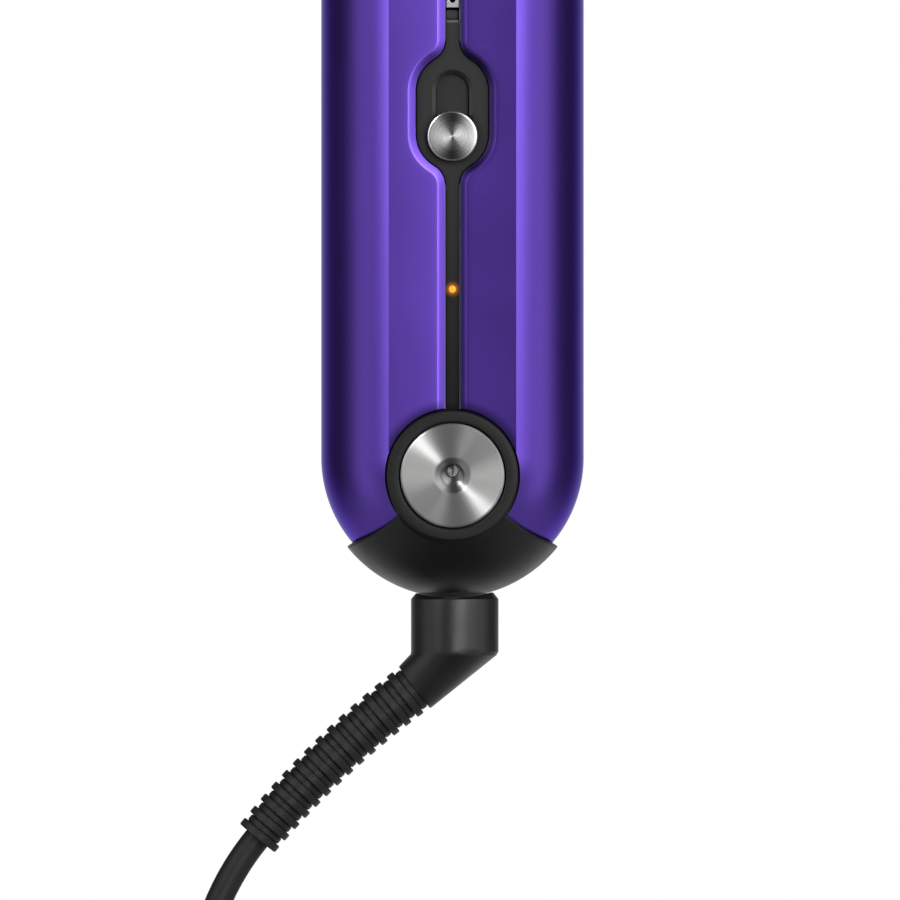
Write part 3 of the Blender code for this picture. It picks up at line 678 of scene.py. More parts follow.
def painted_flat_shade(finish):
    """Painted shade on the flats: a painted shadow round the hinge ring, and a slight painted darkening
    towards the creases.
    """
    x, _, z = finish.split(finish.place)
    # painted shadow round the hinge ring on the flats
    painted_ring_shadow = finish.along(finish.distance(x, z), 0.3, 1.0, HINGE_HOLE, HINGE_HOLE + 1.8)
    # painted shade, darker towards the creases
    painted_crease_shade = finish.along(finish.absolute(x), 1.0, 0.8, 3, CREASE_X)
    _, facing, _ = finish.split(finish.node("NewGeometry").outputs["Normal"])
    on_flat = finish.span(finish.absolute(facing), 0.0, 1.0, 0.93, 0.96)
    return finish.where(finish.times(painted_ring_shadow, painted_crease_shade), on_flat)


def painted_seam_shade(finish):
    """A painted highlight along the seam bevel's outer edge on the +X side, and painted shade that deepens
    towards the spine, deeper on the +X side.
    """
    across_x, y, z = finish.split(finish.place)
    x = finish.absolute(across_x)
    face = finish.plus(finish.times(x, -FLAT_LEAN), (FLAT_Y + FLAT_LEAN * CREASE_X) * MM)
    depth = finish.minus(face, finish.absolute(y))
    left = finish.along(depth, 1.0, 0.8, 0.05, 0.12)
    right = finish.along(depth, 1.0, 0.17, 0.02, 0.2)
    side = finish.along(across_x, 0.0, 1.0, -0.1, 0.1)
    # painted shade: deeper towards the spine, and deeper on the +X side
    dark = finish.plus(left, finish.times(finish.minus(right, left), side))
    # painted highlight along the bevel's outer edge
    line = finish.times(
        finish.along(depth, 0.0, 1.0, 0.004, 0.03),
        finish.along(depth, 1.0, 0.0, 0.05, 0.1),
    )
    painted_seam_light_and_shade = finish.plus(dark, finish.times(line, finish.times(side, 0.35)))
    reach = finish.along(z, 0.0, 1.0, HINGE_HOLE - 0.8, HINGE_HOLE - 0.3)
    reach = finish.times(reach, finish.along(z, 1.0, 0.0, TIP_Z - 30, TIP_Z - 20))
    reach = finish.times(reach, finish.along(x, 1.0, 0.0, CREASE_X - 2, CREASE_X - 1))
    return finish.where(painted_seam_light_and_shade, reach)


def lacquer():
    """Satin metallic lacquer: fine flake, soft cloudiness and a thin clear coat, with painted shade and
    painted highlights multiplied into its colour.
    """
    finish = Finish(
        "purple_lacquer", (0.165, 0.078, 0.6), 0.32, 1.0,
        coat_weight=0.3, coat_roughness=0.2, specular_tint=(0.35, 0.28, 0.8),
    )
    colour = finish.worn(finish.tint(finish.noise(18), 0.03), (0.24, 0.14, 0.7), 0.2)
    # painted shade and painted highlight for the flats and the seam bevel
    painted_shades = finish.times(painted_flat_shade(finish), painted_seam_shade(finish))
    return finish.use(
        base_color=finish.mix(1.0, colour, painted_shades, "MULTIPLY"),
        roughness=finish.span(finish.noise(60, 4), 0.3, 0.34),
        normal=finish.bump(finish.noise(9000, 1), 0.04, 0.01),
    )


def satin_black(name, colour, roughness, depth=0.004, shine=0.5):
    """Moulded black plastic with a fine grain."""
    finish = Finish(name, colour, roughness, specular_ior_level=shine)
    light = [c * 2.0 + 0.01 for c in colour]
    return finish.use(
        base_color=finish.worn(finish.tint(finish.noise(40), 0.12), light, 0.12),
        roughness=finish.span(finish.noise(220), roughness - 0.04, roughness + 0.04),
        normal=finish.bump(finish.noise(5200, 2), 0.25, depth),
    )


def turned_metal(name, colour, roughness, spin, groove_scale, depth, painted_highlights, inner, rim=None):
    """Lathe-turned metal: concentric grooves about Y through the piece's own origin.

    The row of greys over half a turn paints highlight and shade sectors into the colour, up to the rim. It
    sets in over the first two numbers of inner, which are radii, and starts from the third, a grey that
    paints shade in the middle.
    """
    finish = Finish(name, colour, roughness, 1.0, anisotropic=spin, anisotropic_rotation=0.25)
    x, _, z = finish.split(finish.place)
    radius = finish.distance(x, z)
    inputs = {"W": radius, "Scale": groove_scale, "Detail": 4.0}
    grooves = finish.node("TexNoise", inputs, noise_dimensions="1D").outputs["Fac"]
    half_turns = finish.maths("DIVIDE", finish.maths("ARCTAN2", x, z), math.pi)
    turn = finish.maths("FRACT", finish.plus(half_turns, 2.0))
    last = len(painted_highlights) - 1
    # painted highlight and shade sectors round the axis
    painted_sectors = finish.ramp(turn, [(i / last, (grey,) * 3) for i, grey in enumerate(painted_highlights)], "B_SPLINE")
    inner_start, inner_end, inner_shade_grey = inner
    # painted shade in the middle, inside the inner radii
    painted_sectors = finish.mix(finish.along(radius, 0.0, 1.0, inner_start, inner_end), (inner_shade_grey,) * 3, painted_sectors)
    inside_rim = finish.along(radius, 1.0, 0.0, rim - 0.12, rim) if rim else 1.0
    return finish.use(
        base_color=finish.mix(inside_rim, finish.tint(grooves, 0.03), painted_sectors, "MULTIPLY"),
        roughness=finish.span(grooves, roughness - 0.05, roughness + 0.06),
        normal=finish.bump(grooves, 0.3, depth),
        tangent=finish.node("Tangent", direction_type="RADIAL", axis="Y").outputs["Tangent"],
    )


def plain(name, colour, roughness, metallic=0.0, depth=0.004, vary=0.08, edge=0.15, uneven=0.06):
    """A simple finish with grain, cloudiness and lighter edges."""
    finish = Finish(name, colour, roughness, metallic)
    light = [min(1.0, c * 1.5 + 0.03) for c in colour]
    return finish.use(
        base_color=finish.worn(finish.tint(finish.noise(70), vary), light, edge),
        roughness=finish.span(finish.noise(300), max(0.02, roughness - uneven), roughness + uneven),
        normal=finish.bump(finish.noise(3000, 2), 0.2, depth),
    )


def spine_plastic():
    """The spine's black plastic: a painted glow round the status light, a painted highlight on its top edge,
    and painted shade where it is hidden and towards its bottom.
    """
    # The emission colour is the painted amber glow of the status light on the plastic round it.
    finish = Finish("spine_plastic", (0.010, 0.010, 0.011), 0.42, emission_color=(1.0, 0.3, 0.03))
    x, _, z = finish.split(finish.place)
    light_distance = finish.distance(finish.minus(z, LIGHT_Z * MM), x)
    # painted glow round the status light
    painted_glow = finish.along(light_distance, 1.0, 0.0, 0.5, 1.7)
    worn = finish.worn(finish.tint(finish.noise(40), 0.1), (0.04, 0.04, 0.04), 0.15)
    # painted highlight along the top edge
    painted_top_highlight = finish.along(z, 0.0, 1.0, SPINE_TOP_Z - 0.45, SPINE_TOP_Z - 0.3)
    colour = finish.mix(painted_top_highlight, worn, (0.16, 0.16, 0.16))
    # painted shade where the plastic is hidden, from ambient occlusion
    painted_occlusion = finish.node("AmbientOcclusion", {"Distance": 1.6 * MM, "Color": colour}, samples=8)
    # painted shade: less shine towards the bottom and where hidden
    shine = finish.along(z, 0.16, 0.55, 14, 60)
    painted_shade_shine = finish.times(shine, finish.span(painted_occlusion.outputs["AO"], 0.2, 1.0, 0.35, 0.95))
    return finish.use(
        base_color=painted_occlusion.outputs["Color"],
        roughness=finish.span(finish.noise(220), 0.38, 0.46),
        specular_ior_level=painted_shade_shine,
        emission_strength=finish.times(finish.times(painted_glow, painted_glow), 0.5),
        normal=finish.bump(finish.noise(5200, 2), 0.2, 0.004),
    )


def slide_plastic():
    """Dark brown-grey slide, paler on its bar."""
    finish = Finish("slide_plastic", (0.012, 0.0105, 0.0105), 0.5)
    on_bar = finish.along(finish.split(finish.place)[2], 0.0, 1.0, 83.1, 83.5)
    return finish.use(
        base_color=finish.mix(on_bar, finish.tint(finish.noise(70), 0.1), (0.06, 0.06, 0.06)),
        roughness=finish.span(finish.noise(220), 0.46, 0.56),
        normal=finish.bump(finish.noise(5200, 2), 0.2, 0.003),
    )


def lit_lens():
    """The status light's glowing amber lens."""
    finish = Finish("amber_lens", (0.95, 0.35, 0.02), 0.3, emission_color=(1.0, 0.36, 0.02))
    return finish.use(emission_strength=finish.span(finish.noise(500, 2), 0.75, 1.0))


# Greys over half a turn from 12 o'clock: painted highlights and shade on the hinge discs and on the lock's
# knob.
DISC_PAINTED_HIGHLIGHTS = (0.8, 0.77, 0.25, 0.23, 0.22, 0.4, 0.58, 0.68, 0.85, 0.9, 0.95, 1.0, 0.8)
KNOB_PAINTED_HIGHLIGHTS = (0.15, 0.2, 0.27, 0.34, 0.41, 0.49, 0.6, 0.7, 0.72, 0.62, 0.7, 0.36, 0.15)
PURPLE = lacquer()
BLACK = satin_black("black_plastic", (0.012, 0.012, 0.012), 0.38)
RING_BLACK = satin_black("ring_plastic", (0.008, 0.008, 0.0075), 0.4)
SPINE = spine_plastic()
RUBBER = satin_black("black_rubber", (0.016, 0.016, 0.016), 0.5, depth=0.0015)
HEAD_BLACK = satin_black("head_plastic", (0.012, 0.012, 0.012), 0.4, shine=0.8)
# A paler copy of the black plastic: painted light on the charge port's downward-facing rim.
PORT_PAINTED_LIGHT = satin_black("port_plastic", (0.04, 0.04, 0.04), 0.45)
# The last number of each inner tuple is the grey of the painted shade in the middle.
DISC_METAL = turned_metal(
    "turned_steel", (0.92, 0.92, 0.91), 0.42, 0.95, 9000, 0.0015, DISC_PAINTED_HIGHLIGHTS, (3.05, 3.4, 0.34)
)
KNOB_METAL = turned_metal(
    "knob_steel", (0.9, 0.9, 0.9), 0.27, 0.85, 12000, 0.001, KNOB_PAINTED_HIGHLIGHTS, (1.0, 2.9, 0.75), rim=4.3
)
STEEL = plain("plain_steel", (0.62, 0.62, 0.63), 0.25, 1.0, vary=0.05)
PLATE = plain("plate_coating", (0.36, 0.31, 0.29), 0.32, 1.0, depth=0.0005, vary=0.03, edge=0.05, uneven=0.02)
NYLON = plain("glass_filled_nylon", (0.03, 0.03, 0.032), 0.5, vary=0.15)
SLIDE = slide_plastic()
CATCH = plain("catch_steel", (0.8, 0.8, 0.8), 0.3, 1.0, depth=0.0002, vary=0.02, edge=0.0, uneven=0.01)
BRONZE = plain("bush_bronze", (0.5, 0.33, 0.18), 0.4, 1.0)
BRASS = plain("contact_brass", (0.78, 0.6, 0.3), 0.25, 1.0)
MAGNET = plain("magnet", (0.4, 0.4, 0.42), 0.3, 1.0)
CERAMIC = plain("carrier_ceramic", (0.68, 0.65, 0.58), 0.6)
SILICONE = plain("orange_silicone", (0.45, 0.16, 0.06), 0.6)
FILM = plain("film_heater", (0.3, 0.15, 0.04), 0.4)
CELL = plain("cell_wrap", (0.02, 0.022, 0.026), 0.4)
BOARD = plain("circuit_board", (0.01, 0.1, 0.04), 0.4)
GLASS = plain("display_glass", (0.008, 0.008, 0.01), 0.08, vary=0.3, depth=0.001)
LENS = lit_lens()


# --- pieces: arms ---


def build_shell(side):
    sign = SIDES[side]
    shell = piece(
        side + "_shell_skin", shell_sheet(sign), side + "_arm", side + "_shell", PURPLE,
        inside=(sign * 10, 0, 120), smooth_angle=SHELL_ANGLE,
    )
    thicken(shell, WALL)
    if side == "right":
        holes = [capsule(*DISPLAY_Z, DISPLAY_RADIUS + CONTROL_GAP)]
        holes += [round_outline(y, BUTTON_Z, BUTTON_RADIUS + CONTROL_GAP) for y in BUTTON_Y.values()]
    else:
        holes = [round_outline(0, POWER_Z, POWER_RADIUS + CONTROL_GAP)]
    cutters = [flank_cutter(f"hole_{i}", outline, side) for i, outline in enumerate(holes)]
    boolean(shell, "DIFFERENCE", split_cutter(), *cutters, smooth_angle=SHELL_ANGLE)


def build_control(name, side, body, outline, finish, half_y, heights, proud=0.0):
    """A window or button cap, trimmed to its outline from the arm's curved face."""
    cap = piece(name + "_cap", flank_slab(side, *heights, half_y, proud), body, name, finish)
    boolean(cap, "INTERSECT", flank_cutter(name + "_edge", outline, side))
    round_edges(cap, 0.18)


def build_controls():
    window = capsule(*DISPLAY_Z, DISPLAY_RADIUS)
    heights = (DISPLAY_Z[0] - 6, DISPLAY_Z[1] + 6)
    build_control("display_window", "right", "right_arm", window, GLASS, 6, heights)
    buttons = [(name, "right", y, BUTTON_Z, BUTTON_RADIUS, 9, 5) for name, y in BUTTON_Y.items()]
    buttons.append(("power_button", "left", 0, POWER_Z, POWER_RADIUS, 6, 6))
    for name, side, y, z, radius, half_y, half_z in buttons:
        outline = round_outline(y, z, radius)
        heights = (z - half_z, z + half_z)
        build_control(name, side, name, outline, BLACK, half_y, heights, BUTTON_PROUD)


def slot_cutter():
    """The knob's slot, with a chamfered rim."""
    rows = []
    for y, half in (
        (-19, SLOT_RIM), (-SPINE_FACE_Y, SLOT_RIM),
        (-SPINE_FACE_Y + SLOT_CHAMFER, SLOT_HALF), (-16, SLOT_HALF),
    ):
        rows.append([(x, y, z) for x, z in capsule(LOCK_Z, LOCK_Z + LOCK_TRAVEL, half)])
    return cutter("slot", skin(rows, wrap=True, cap=True))


def build_spine():
    """The front spine and its pod, hollow behind the slot, with a hole for the status light."""
    stations = [station for station in outline_stations() if station(0.0)[1] < SPINE_TOP_Z - 0.5]
    rows = []
    for y, extra, low in (
        (SPINE_FACE_Y, 0, SPINE_LOW_Z), (SPINE_FACE_Y - 0.45, 0, SPINE_LOW_Z),
        (SPINE_FACE_Y - 0.6, SPINE_FLANGE, SPINE_BACK_LOW_Z), (SPINE_BACK_Y, SPINE_FLANGE, SPINE_BACK_LOW_Z),
    ):
        right = [station(extra) for station in (level_seam(low), *stations, level_seam(SPINE_TOP_Z))]
        rows.append([(x, -y, z) for x, z in mirrored(right)])
    spine = piece(
        "spine_strip", skin(rows, wrap=True, cap=True), "left_arm", "front_spine", SPINE
    )
    outline = mirrored([(HOLLOW_HALF, z) for z in HOLLOW_Z])
    hollow = cutter("hollow", prism("Y", outline, *HOLLOW_Y))
    lens_hole = drill("lens_hole", LENS_RADIUS + LENS_GAP, -19, -13, centre=(0, 0, LIGHT_Z))
    boolean(spine, "DIFFERENCE", hollow, slot_cutter(), lens_hole, smooth_angle=15)
    round_edges(spine, 0.22)


def build_plain_strip(name, node, sign, low):
    """A plain strip that fills the seam above the lock or all along the rear."""
    high = PLAIN_SPINE_Z[1]
    rows = []
    for depth, half, end in (
        (0, 1.0, 0.2), (0.06, 1.14, 0.06), (0.2, SPINE_HALF, 0),
        (0.5, SPINE_HALF, 0), (0.62, STRIP_HALF, 0), (SPINE_FACE_Y - SPINE_BACK_Y, STRIP_HALF, 0),
    ):
        side = [(half, z) for z in spread(low + end, high - end, 8)]
        rows.append([(x, sign * (SPINE_FACE_Y - depth), z) for x, z in mirrored(side)])
    piece(name, skin(rows, wrap=True, cap=True), "right_arm", node, BLACK)


def build_keeper():
    """The bright catch plate above the slide's bar, with a round hole, on a flange."""
    outline = [(-1.1, -17.3), (2.2, -17.3), (2.2, -11.0), (1.6, -11.0), (1.6, -16.7), (-1.1, -16.7)]
    plate = prism("Z", outline, *KEEPER_Z)
    keeper = piece("keeper_plate", plate, "right_arm", "lock_keeper", CATCH)
    boolean(keeper, "DIFFERENCE", drill("keeper_hole", KEEPER_HOLE, -18, -16, centre=(0, 0, KEEPER_HOLE_Z)))
    round_edges(keeper, 0.1)


def build_slide():
    """The slide below the slot, and the bar that runs up from it behind the keeper."""
    low, high = SLIDE_Z
    half = [(0, low), (SLIDE_HALF, low), (SLIDE_HALF, high)]
    half += [(BAR_HALF, high), (BAR_HALF, BAR_TOP_Z), (0, BAR_TOP_Z)]
    plate = prism("Y", mirrored(filleted(half, (0, 0.5, 0.5, 0.2, 0.35, 0), 4)), *SLIDE_Y)
    slide = piece("slide_moulded", plate, "lock_slider", "lock_carriage", SLIDE)
    round_edges(slide, 0.12)


def build_lens():
    profile = [
        (0, -17.93), (0.3, -17.91), (0.52, -17.84), (LENS_RADIUS, -17.7), (LENS_RADIUS, -15), (0, -15),
    ]
    lens = turned(profile, centre=(0, 0, LIGHT_Z), steps=32)
    piece("status_lens", lens, "left_arm", "status_light", LENS)


def build_knob():
    """The lock's knob, with its origin on its own axis, for the turned finish."""
    outline = [
        (0, -19.5), (1.2, -19.5), (2.8, -19.49), (3.9, -19.47), (KNOB_RADIUS, -19.42), (KNOB_RADIUS, -18.05),
        (KNOB_NECK, -18.0), (KNOB_NECK, -16.85), (0, -16.85),
    ]
    profile = filleted(outline, (0, 0, 0, 0, 0.42, 0.15, 0.1, 0.1, 0), 6)
    knob = piece(
        "lock_knob_turned", turned(profile, steps=96), "lock_slider", "lock_knob", KNOB_METAL
    )
    knob.location = (0, 0, LOCK_Z * MM)
    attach(knob, "lock_slider")


# --- pieces: hinge ---


def faced(profile, sign):
    """A hinge profile turned to the front or the rear."""
    return [(r, sign * y) for r, y in profile]


def build_ring(end, sign):
    outline = [
        (9.75, 16.9), (9.75, 20.0), (9.95, 20.2), (11.62, 20.2), (11.98, 19.85), (11.98, 17.9),
        (12.28, 17.5), (12.28, 16.9), (9.75, 16.9),
    ]
    profile = filleted(outline, (0, 0.08, 0.08, 0.12, 0.2, 0.1, 0.1, 0.1, 0), 4)
    ring = turned(faced(profile, sign), steps=128)
    piece(end + "_ring_moulded", ring, "hinge_base", end + "_hinge_ring", RING_BLACK)


def build_disc(end, sign):
    """A turned disc with a dished recess and a grooved pip set a little off its centre."""
    dish = [
        (0, 18.15), (1.3, 18.2), (1.75, 18.35), (2.08, 18.6), (2.14, 19.25), (2.3, 19.42), (3.3, 19.83),
        (3.5, 19.87), (5.5, 19.88), (9.1, 19.9), (9.45, 19.75), (9.45, 17.0), (0, 17.0),
    ]
    dish_radii = (0, 0.3, 0.3, 0.1, 0.1, 0.12, 0.15, 0.1, 0, 0.15, 0.12, 0.1, 0)
    pip = [
        (0, 18.95), (0.2, 18.97), (0.3, 18.9), (0.42, 18.95), (0.62, 18.95), (0.7, 18.83), (0.8, 18.9),
        (0.95, 18.88), (1.05, 18.75), (1.15, 18.2), (1.15, 18.0), (0, 18.0),
    ]
    pip_radii = (0, 0.04, 0.04, 0.04, 0.04, 0.04, 0.04, 0.06, 0.08, 0.1, 0, 0)
    disc = turned(faced(filleted(dish, dish_radii, 4), sign), steps=128)
    turned(faced(filleted(pip, pip_radii, 3), sign), centre=(0, 0, PIP_LIFT), steps=64, bm=disc)
    piece(end + "_disc_turned", disc, "hinge_base", end + "_hinge_disc", DISC_METAL)


def bowl_point(turn, share):
    """A point of the bowl. Turn runs under the hinge from +X to -X, share from the front to the rear."""
    hole = hole_reach(turn, BOWL_CENTRE_Z, BOWL_HOLE)
    centre = BOWL_RADIUS - BOWL_FLANK_RADIUS
    edge = math.acos((max(hole, BOWL_EDGE) - centre) / BOWL_FLANK_RADIUS)
    w = centre + BOWL_FLANK_RADIUS * math.cos(edge * share)
    y = BOWL_FLANK_RADIUS * math.sin(edge * share)
    return w * math.cos(turn), y, BOWL_CENTRE_Z - w * math.sin(turn)


def lip_turn(share):
    """The turn at which the bowl meets the split line, on the +X side."""
    above, below = 0.0, math.radians(80)
    for _ in range(40):
        middle = (above + below) / 2
        x, _, z = bowl_point(middle, share)
        if z > split_height(x):
            above = middle
        else:
            below = middle
    return above


def build_bowl():
    columns = []
    for share in spread(-1, 1, 56):
        start = lip_turn(share)
        columns.append([bowl_point(turn, share) for turn in spread(start, math.pi - start, 72)])
    bowl = piece(
        "bowl_moulded", skin(columns), "hinge_base", "bowl_cap", BLACK,
        inside=(0, 0, 2), smooth_angle=BOWL_ANGLE,
    )
    thicken(bowl, BOWL_WALL)
    round_edges(bowl, 0.3, 4, BOWL_ANGLE)
    port_hole = drill("port_hole", PORT_HOLE, -30, -15, axis="Z", steps=96)
    boolean(bowl, "DIFFERENCE", port_hole, smooth_angle=BOWL_ANGLE)


# --- pieces: lead ---


def heading_of(angle):
    return Vector((-math.cos(angle), 0, -math.sin(angle)))


def across(angle):
    return Vector((math.sin(angle), 0, -math.cos(angle)))


def ring_at(centre, sideways, radius):
    return [centre + sideways * u + Vector((0, v, 0)) for u, v in circle(radius, ROUND)]


def walk(bends, step):
    """(point, angle) stations from the elbow's end along bends of (length, turn)."""
    stations = [(ELBOW_END, LEAD_HEADING)]
    for length, turn in bends:
        count = max(1, round(length / step))
        for _ in range(count):
            point, angle = stations[-1]
            middle = angle + turn / count / 2
            stations.append((point + heading_of(middle) * (length / count), angle + turn / count))
    return stations


def bowl_underside(x):
    """Height of the bowl's lowest line at a distance across."""
    return BOWL_CENTRE_Z - math.sqrt(BOWL_RADIUS**2 - x**2)


def saddled(point):
    """Sinks the head's flat top so that it follows the bowl from side to side."""
    share = max(0.0, (point.z - HEAD_CHAMFER_Z) / (HEAD_TOP_Z - HEAD_CHAMFER_Z))
    top = min(HEAD_TOP_Z, bowl_underside(point.x) - 0.06)
    return Vector((point.x, point.y, point.z + share * (top - HEAD_TOP_Z)))


def build_head():
    """The head's barrel, open at the top, and its elbow, which ends in a blind bore for the boot."""
    level = Vector((1, 0, 0))
    outline = [
        (HEAD_MOUTH, HEAD_TOP_Z), (HEAD_RADIUS - 0.95, HEAD_TOP_Z), (HEAD_RADIUS, HEAD_CHAMFER_Z),
        (HEAD_RADIUS, HEAD_ELBOW_Z),
    ]
    rows = [ring_at(Vector((0, 0, HEAD_FLOOR_Z)), level, r) for r in (0.01, HEAD_MOUTH)]
    for r, z in filleted(outline, (0, 0.25, 0.35, 0), 5)[:-1]:
        shift = HEAD_SHIFT if r > HEAD_MOUTH else 0.0
        rows.append([saddled(point) for point in ring_at(Vector((shift, 0, z)), level, r)])
    for rise in MITRE_RISES:
        rows.append(ring_at(Vector((HEAD_SHIFT, 0, HEAD_ELBOW_Z + rise)), level, HEAD_RADIUS))
    sideways = across(LEAD_HEADING)
    mitre = ring_at(Vector((HEAD_SHIFT, 0, HEAD_ELBOW_Z)), level, HEAD_RADIUS)
    elbow_ring = ring_at(ELBOW_END, sideways, ELBOW_END_RADIUS)
    for share in [0.03] + spread(0.06, 1.0, 15):
        rows.append([a.lerp(b, share) for a, b in zip(mitre, elbow_ring)])
    for ahead, radius in (
        (0.12, ELBOW_END_RADIUS - 0.05), (0.2, ELBOW_END_RADIUS - 0.25), (0.2, NECK_BORE), (-3.0, NECK_BORE),
        (-3.0, 0.01),
    ):
        rows.append(ring_at(ELBOW_END + heading_of(LEAD_HEADING) * ahead, sideways, radius))
    head = piece(
        "lead_head_moulded", skin(rows, wrap=True), "lead", "lead_head", HEAD_BLACK,
        smooth_angle=20,
    )
    head.visible_glossy = False


def build_port():
    """The charge port's insert: its rim hangs round the contacts and fills the head's sunk top."""
    outline = [
        (0, -22.36), (1.1, -22.33), (1.1, -20.4), (2.3, -20.4), (2.3, -22.25), (4.1, -22.02), (4.1, -20.1),
        (5.3, -20.1), (5.3, -22.36), (5.6, -22.36), (6.3, -21.5), (6.3, -19.6), (7.6, -19.6), (7.6, -18.9),
        (3.85, -18.9), (3.85, -21.1), (2.55, -21.1), (2.55, -18.9), (0, -18.9),
    ]
    port = turned(filleted(outline, 0.08, 2), axis="Z", steps=96)
    # the port's paler plastic is painted light
    piece("charge_port_insert", port, "hinge_base", "charge_port", PORT_PAINTED_LIGHT)


def build_puck():
    """The coupling's face, sunk below the port's rim, with holes for its two contact pins."""
    outline = [
        (0, -22.75), (3.0, -22.6), (4.6, -22.5), (6.1, -22.46), (6.1, -26.6), (4.05, -26.6), (4.05, -23.4),
        (2.35, -23.4), (2.35, -26.6), (0, -26.6),
    ]
    face = turned(filleted(outline, 0.08, 2), axis="Z", steps=96)
    puck = piece("coupling_face", face, "lead_coupling", "coupling_puck", BLACK)
    holes = []
    for i, x in enumerate(PIN_X):
        holes.append(drill(f"pin_hole_{i}", PIN_HOLE, -28, -21, axis="Z", centre=(x, 0, 0), steps=24))
    boolean(puck, "DIFFERENCE", *holes)
    puck.visible_glossy = False


def build_boot():
    """The strain relief: ribs that get thinner along it, with a band between each two."""
    pitch = (BOOT_LENGTH - BOOT_LEAD_IN) / RIB_COUNT
    marks = [(0.0, "bore"), (BOOT_LEAD_IN, "groove")]
    for i in range(RIB_COUNT):
        start = BOOT_LEAD_IN + pitch * i
        marks += [(start + step, kind) for step, kind in RIB_STEPS]
        marks += [(start + pitch + step, kind) for step, kind in RIB_END_STEPS]
    marks.append((BOOT_LENGTH, "bore"))
    rows = []
    for along, kind in marks:
        share = along / BOOT_LENGTH
        rib = RIB_RADII[0] + (RIB_RADII[1] - RIB_RADII[0]) * share
        band = rib - 0.58 - 0.06 * share
        radii = {"bore": BOOT_BORE, "groove": band - 0.18, "band": band, "soft": rib - 0.15, "rib": rib}
        point, angle = walk(((along, BOOT_TURN * share),), 0.7)[-1]
        rows.append(ring_at(point, across(angle), radii[kind]))
    piece("strain_relief_ribbed", skin(rows, wrap=True), "lead", "lead_boot", RUBBER)


def build_cable():
    """The cable from inside the boot down to the plug. Returns its lower end."""
    stations = walk(((BOOT_LENGTH, BOOT_TURN), *CABLE_BENDS), 1.0)
    end, angle = stations[-1]
    stations.append((end + Vector((0, 0, -8)), angle))
    rows = [ring_at(point, across(angle), CABLE_RADIUS) for point, angle in stations]
    piece("cable_round", skin(rows, wrap=True, cap=True), "lead", "lead_cable", RUBBER)
    return end


def build_plug(end):
    """The plug's body and tip, with heights from the cable's end."""
    body = [
        (2.55, -2.8), (3.6, -2.8), (4.1, -12), (5.2, -14), (5.2, -24), (4.8, -25), (2.8, -25), (2.8, -20),
        (0, -20),
    ]
    tip = [(2.75, -20), (2.75, -34.3), (2.5, -34.6), (1.35, -34.6), (1.35, -22), (0, -22)]
    plug = turned(filleted(body, (0, 0.4, 2, 1.5, 0.3, 0.5, 0.1, 0, 0), 6), axis="Z", centre=end)
    piece("plug_moulded", plug, "lead", "lead_plug", BLACK)
    barrel = turned(filleted(tip, (0, 0.15, 0.15, 0.15, 0, 0), 4), axis="Z", centre=end)
    piece("plug_tip_turned", barrel, "lead", "lead_plug_tip", STEEL)


for arm_side in SIDES:
    build_shell(arm_side)
build_spine()
build_plain_strip("upper_strip", "upper_spine", -1, PLAIN_SPINE_Z[0])
build_plain_strip("rear_strip", "rear_spine", 1, SPINE_BACK_LOW_Z)
build_slide()
build_keeper()
build_lens()
build_knob()
for hinge_end, facing in (("front", -1), ("rear", 1)):
    build_ring(hinge_end, facing)
    build_disc(hinge_end, facing)
build_bowl()
build_port()
build_head()
build_puck()
build_boot()
build_plug(build_cable())
build_controls()


# --- CAD parts that are shown as they are: a finish and the width of their softened edges ---

NODE_LOOKS = (
    (BRASS, 0.05, "port_inner_contact port_outer_contact inner_contact_pin outer_contact_pin"),
    (MAGNET, 0.05, "port_magnet coupling_magnet"),
    (NYLON, 0.1, "lock_guide"),
    (NYLON, 0.15, "left_hinge_bracket right_hinge_bracket"),
    (NYLON, 0.2, "hinge_chassis"),
    (NYLON, 0.25, "left_liner right_liner"),
    (STEEL, 0, "hinge_spring"),
    (STEEL, 0.06, "left_liner_screw right_liner_screw"),
    (STEEL, 0.1, "hinge_axle"),
    (BRONZE, 0.1, "left_bush_front left_bush_rear right_bush_front right_bush_rear"),
    (CELL, 0.1, "left_cell_front left_cell_rear right_cell_front right_cell_rear"),
    (PLATE, 0.12, "left_plate right_plate"),
    (CERAMIC, 0.2, "left_plate_carrier right_plate_carrier"),
    (SILICONE, 0.2, "left_plate_cushion right_plate_cushion"),
    (FILM, 0.05, "left_heater right_heater"),
    (BOARD, 0.05, "control_board power_board"),
    (GLASS, 0.05, "display_panel"),
)
for look, edge_width, node_names in NODE_LOOKS:
    for node_name in node_names.split():
        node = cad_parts[node_name]
        node.data.materials.clear()
        node.data.materials.append(look)
        if edge_width:
            round_edges(node, edge_width, 2, 35)


# --- studio ---


def build_floor():
    """A pale floor that fades into the white of the world."""
    bm = turned([(radius, FLOOR_Z) for radius in FLOOR_RADII], axis="Z", steps=96)
    bmesh.ops.recalc_face_normals(bm, faces=bm.faces)
    floor = placed("studio_floor", bm)
    finish = Finish("pale_floor", (0.86, 0.86, 0.87), 0.7, specular_ior_level=0.1)
    length = finish.node("VectorMath", {0: finish.place}, operation="LENGTH").outputs["Value"]
    fade = finish.along(length, 0.6, 1.0, 450, 1300)
    emission = finish.node("Emission", {"Color": (1, 1, 1)})
    output = next(node for node in finish.tree.nodes if node.type == "OUTPUT_MATERIAL")
    finish.show(fade, finish.shader.outputs["BSDF"], emission.outputs["Emission"], output)
    floor.data.materials.append(finish.material)
    floor.visible_glossy = False
    floor.visible_diffuse = False


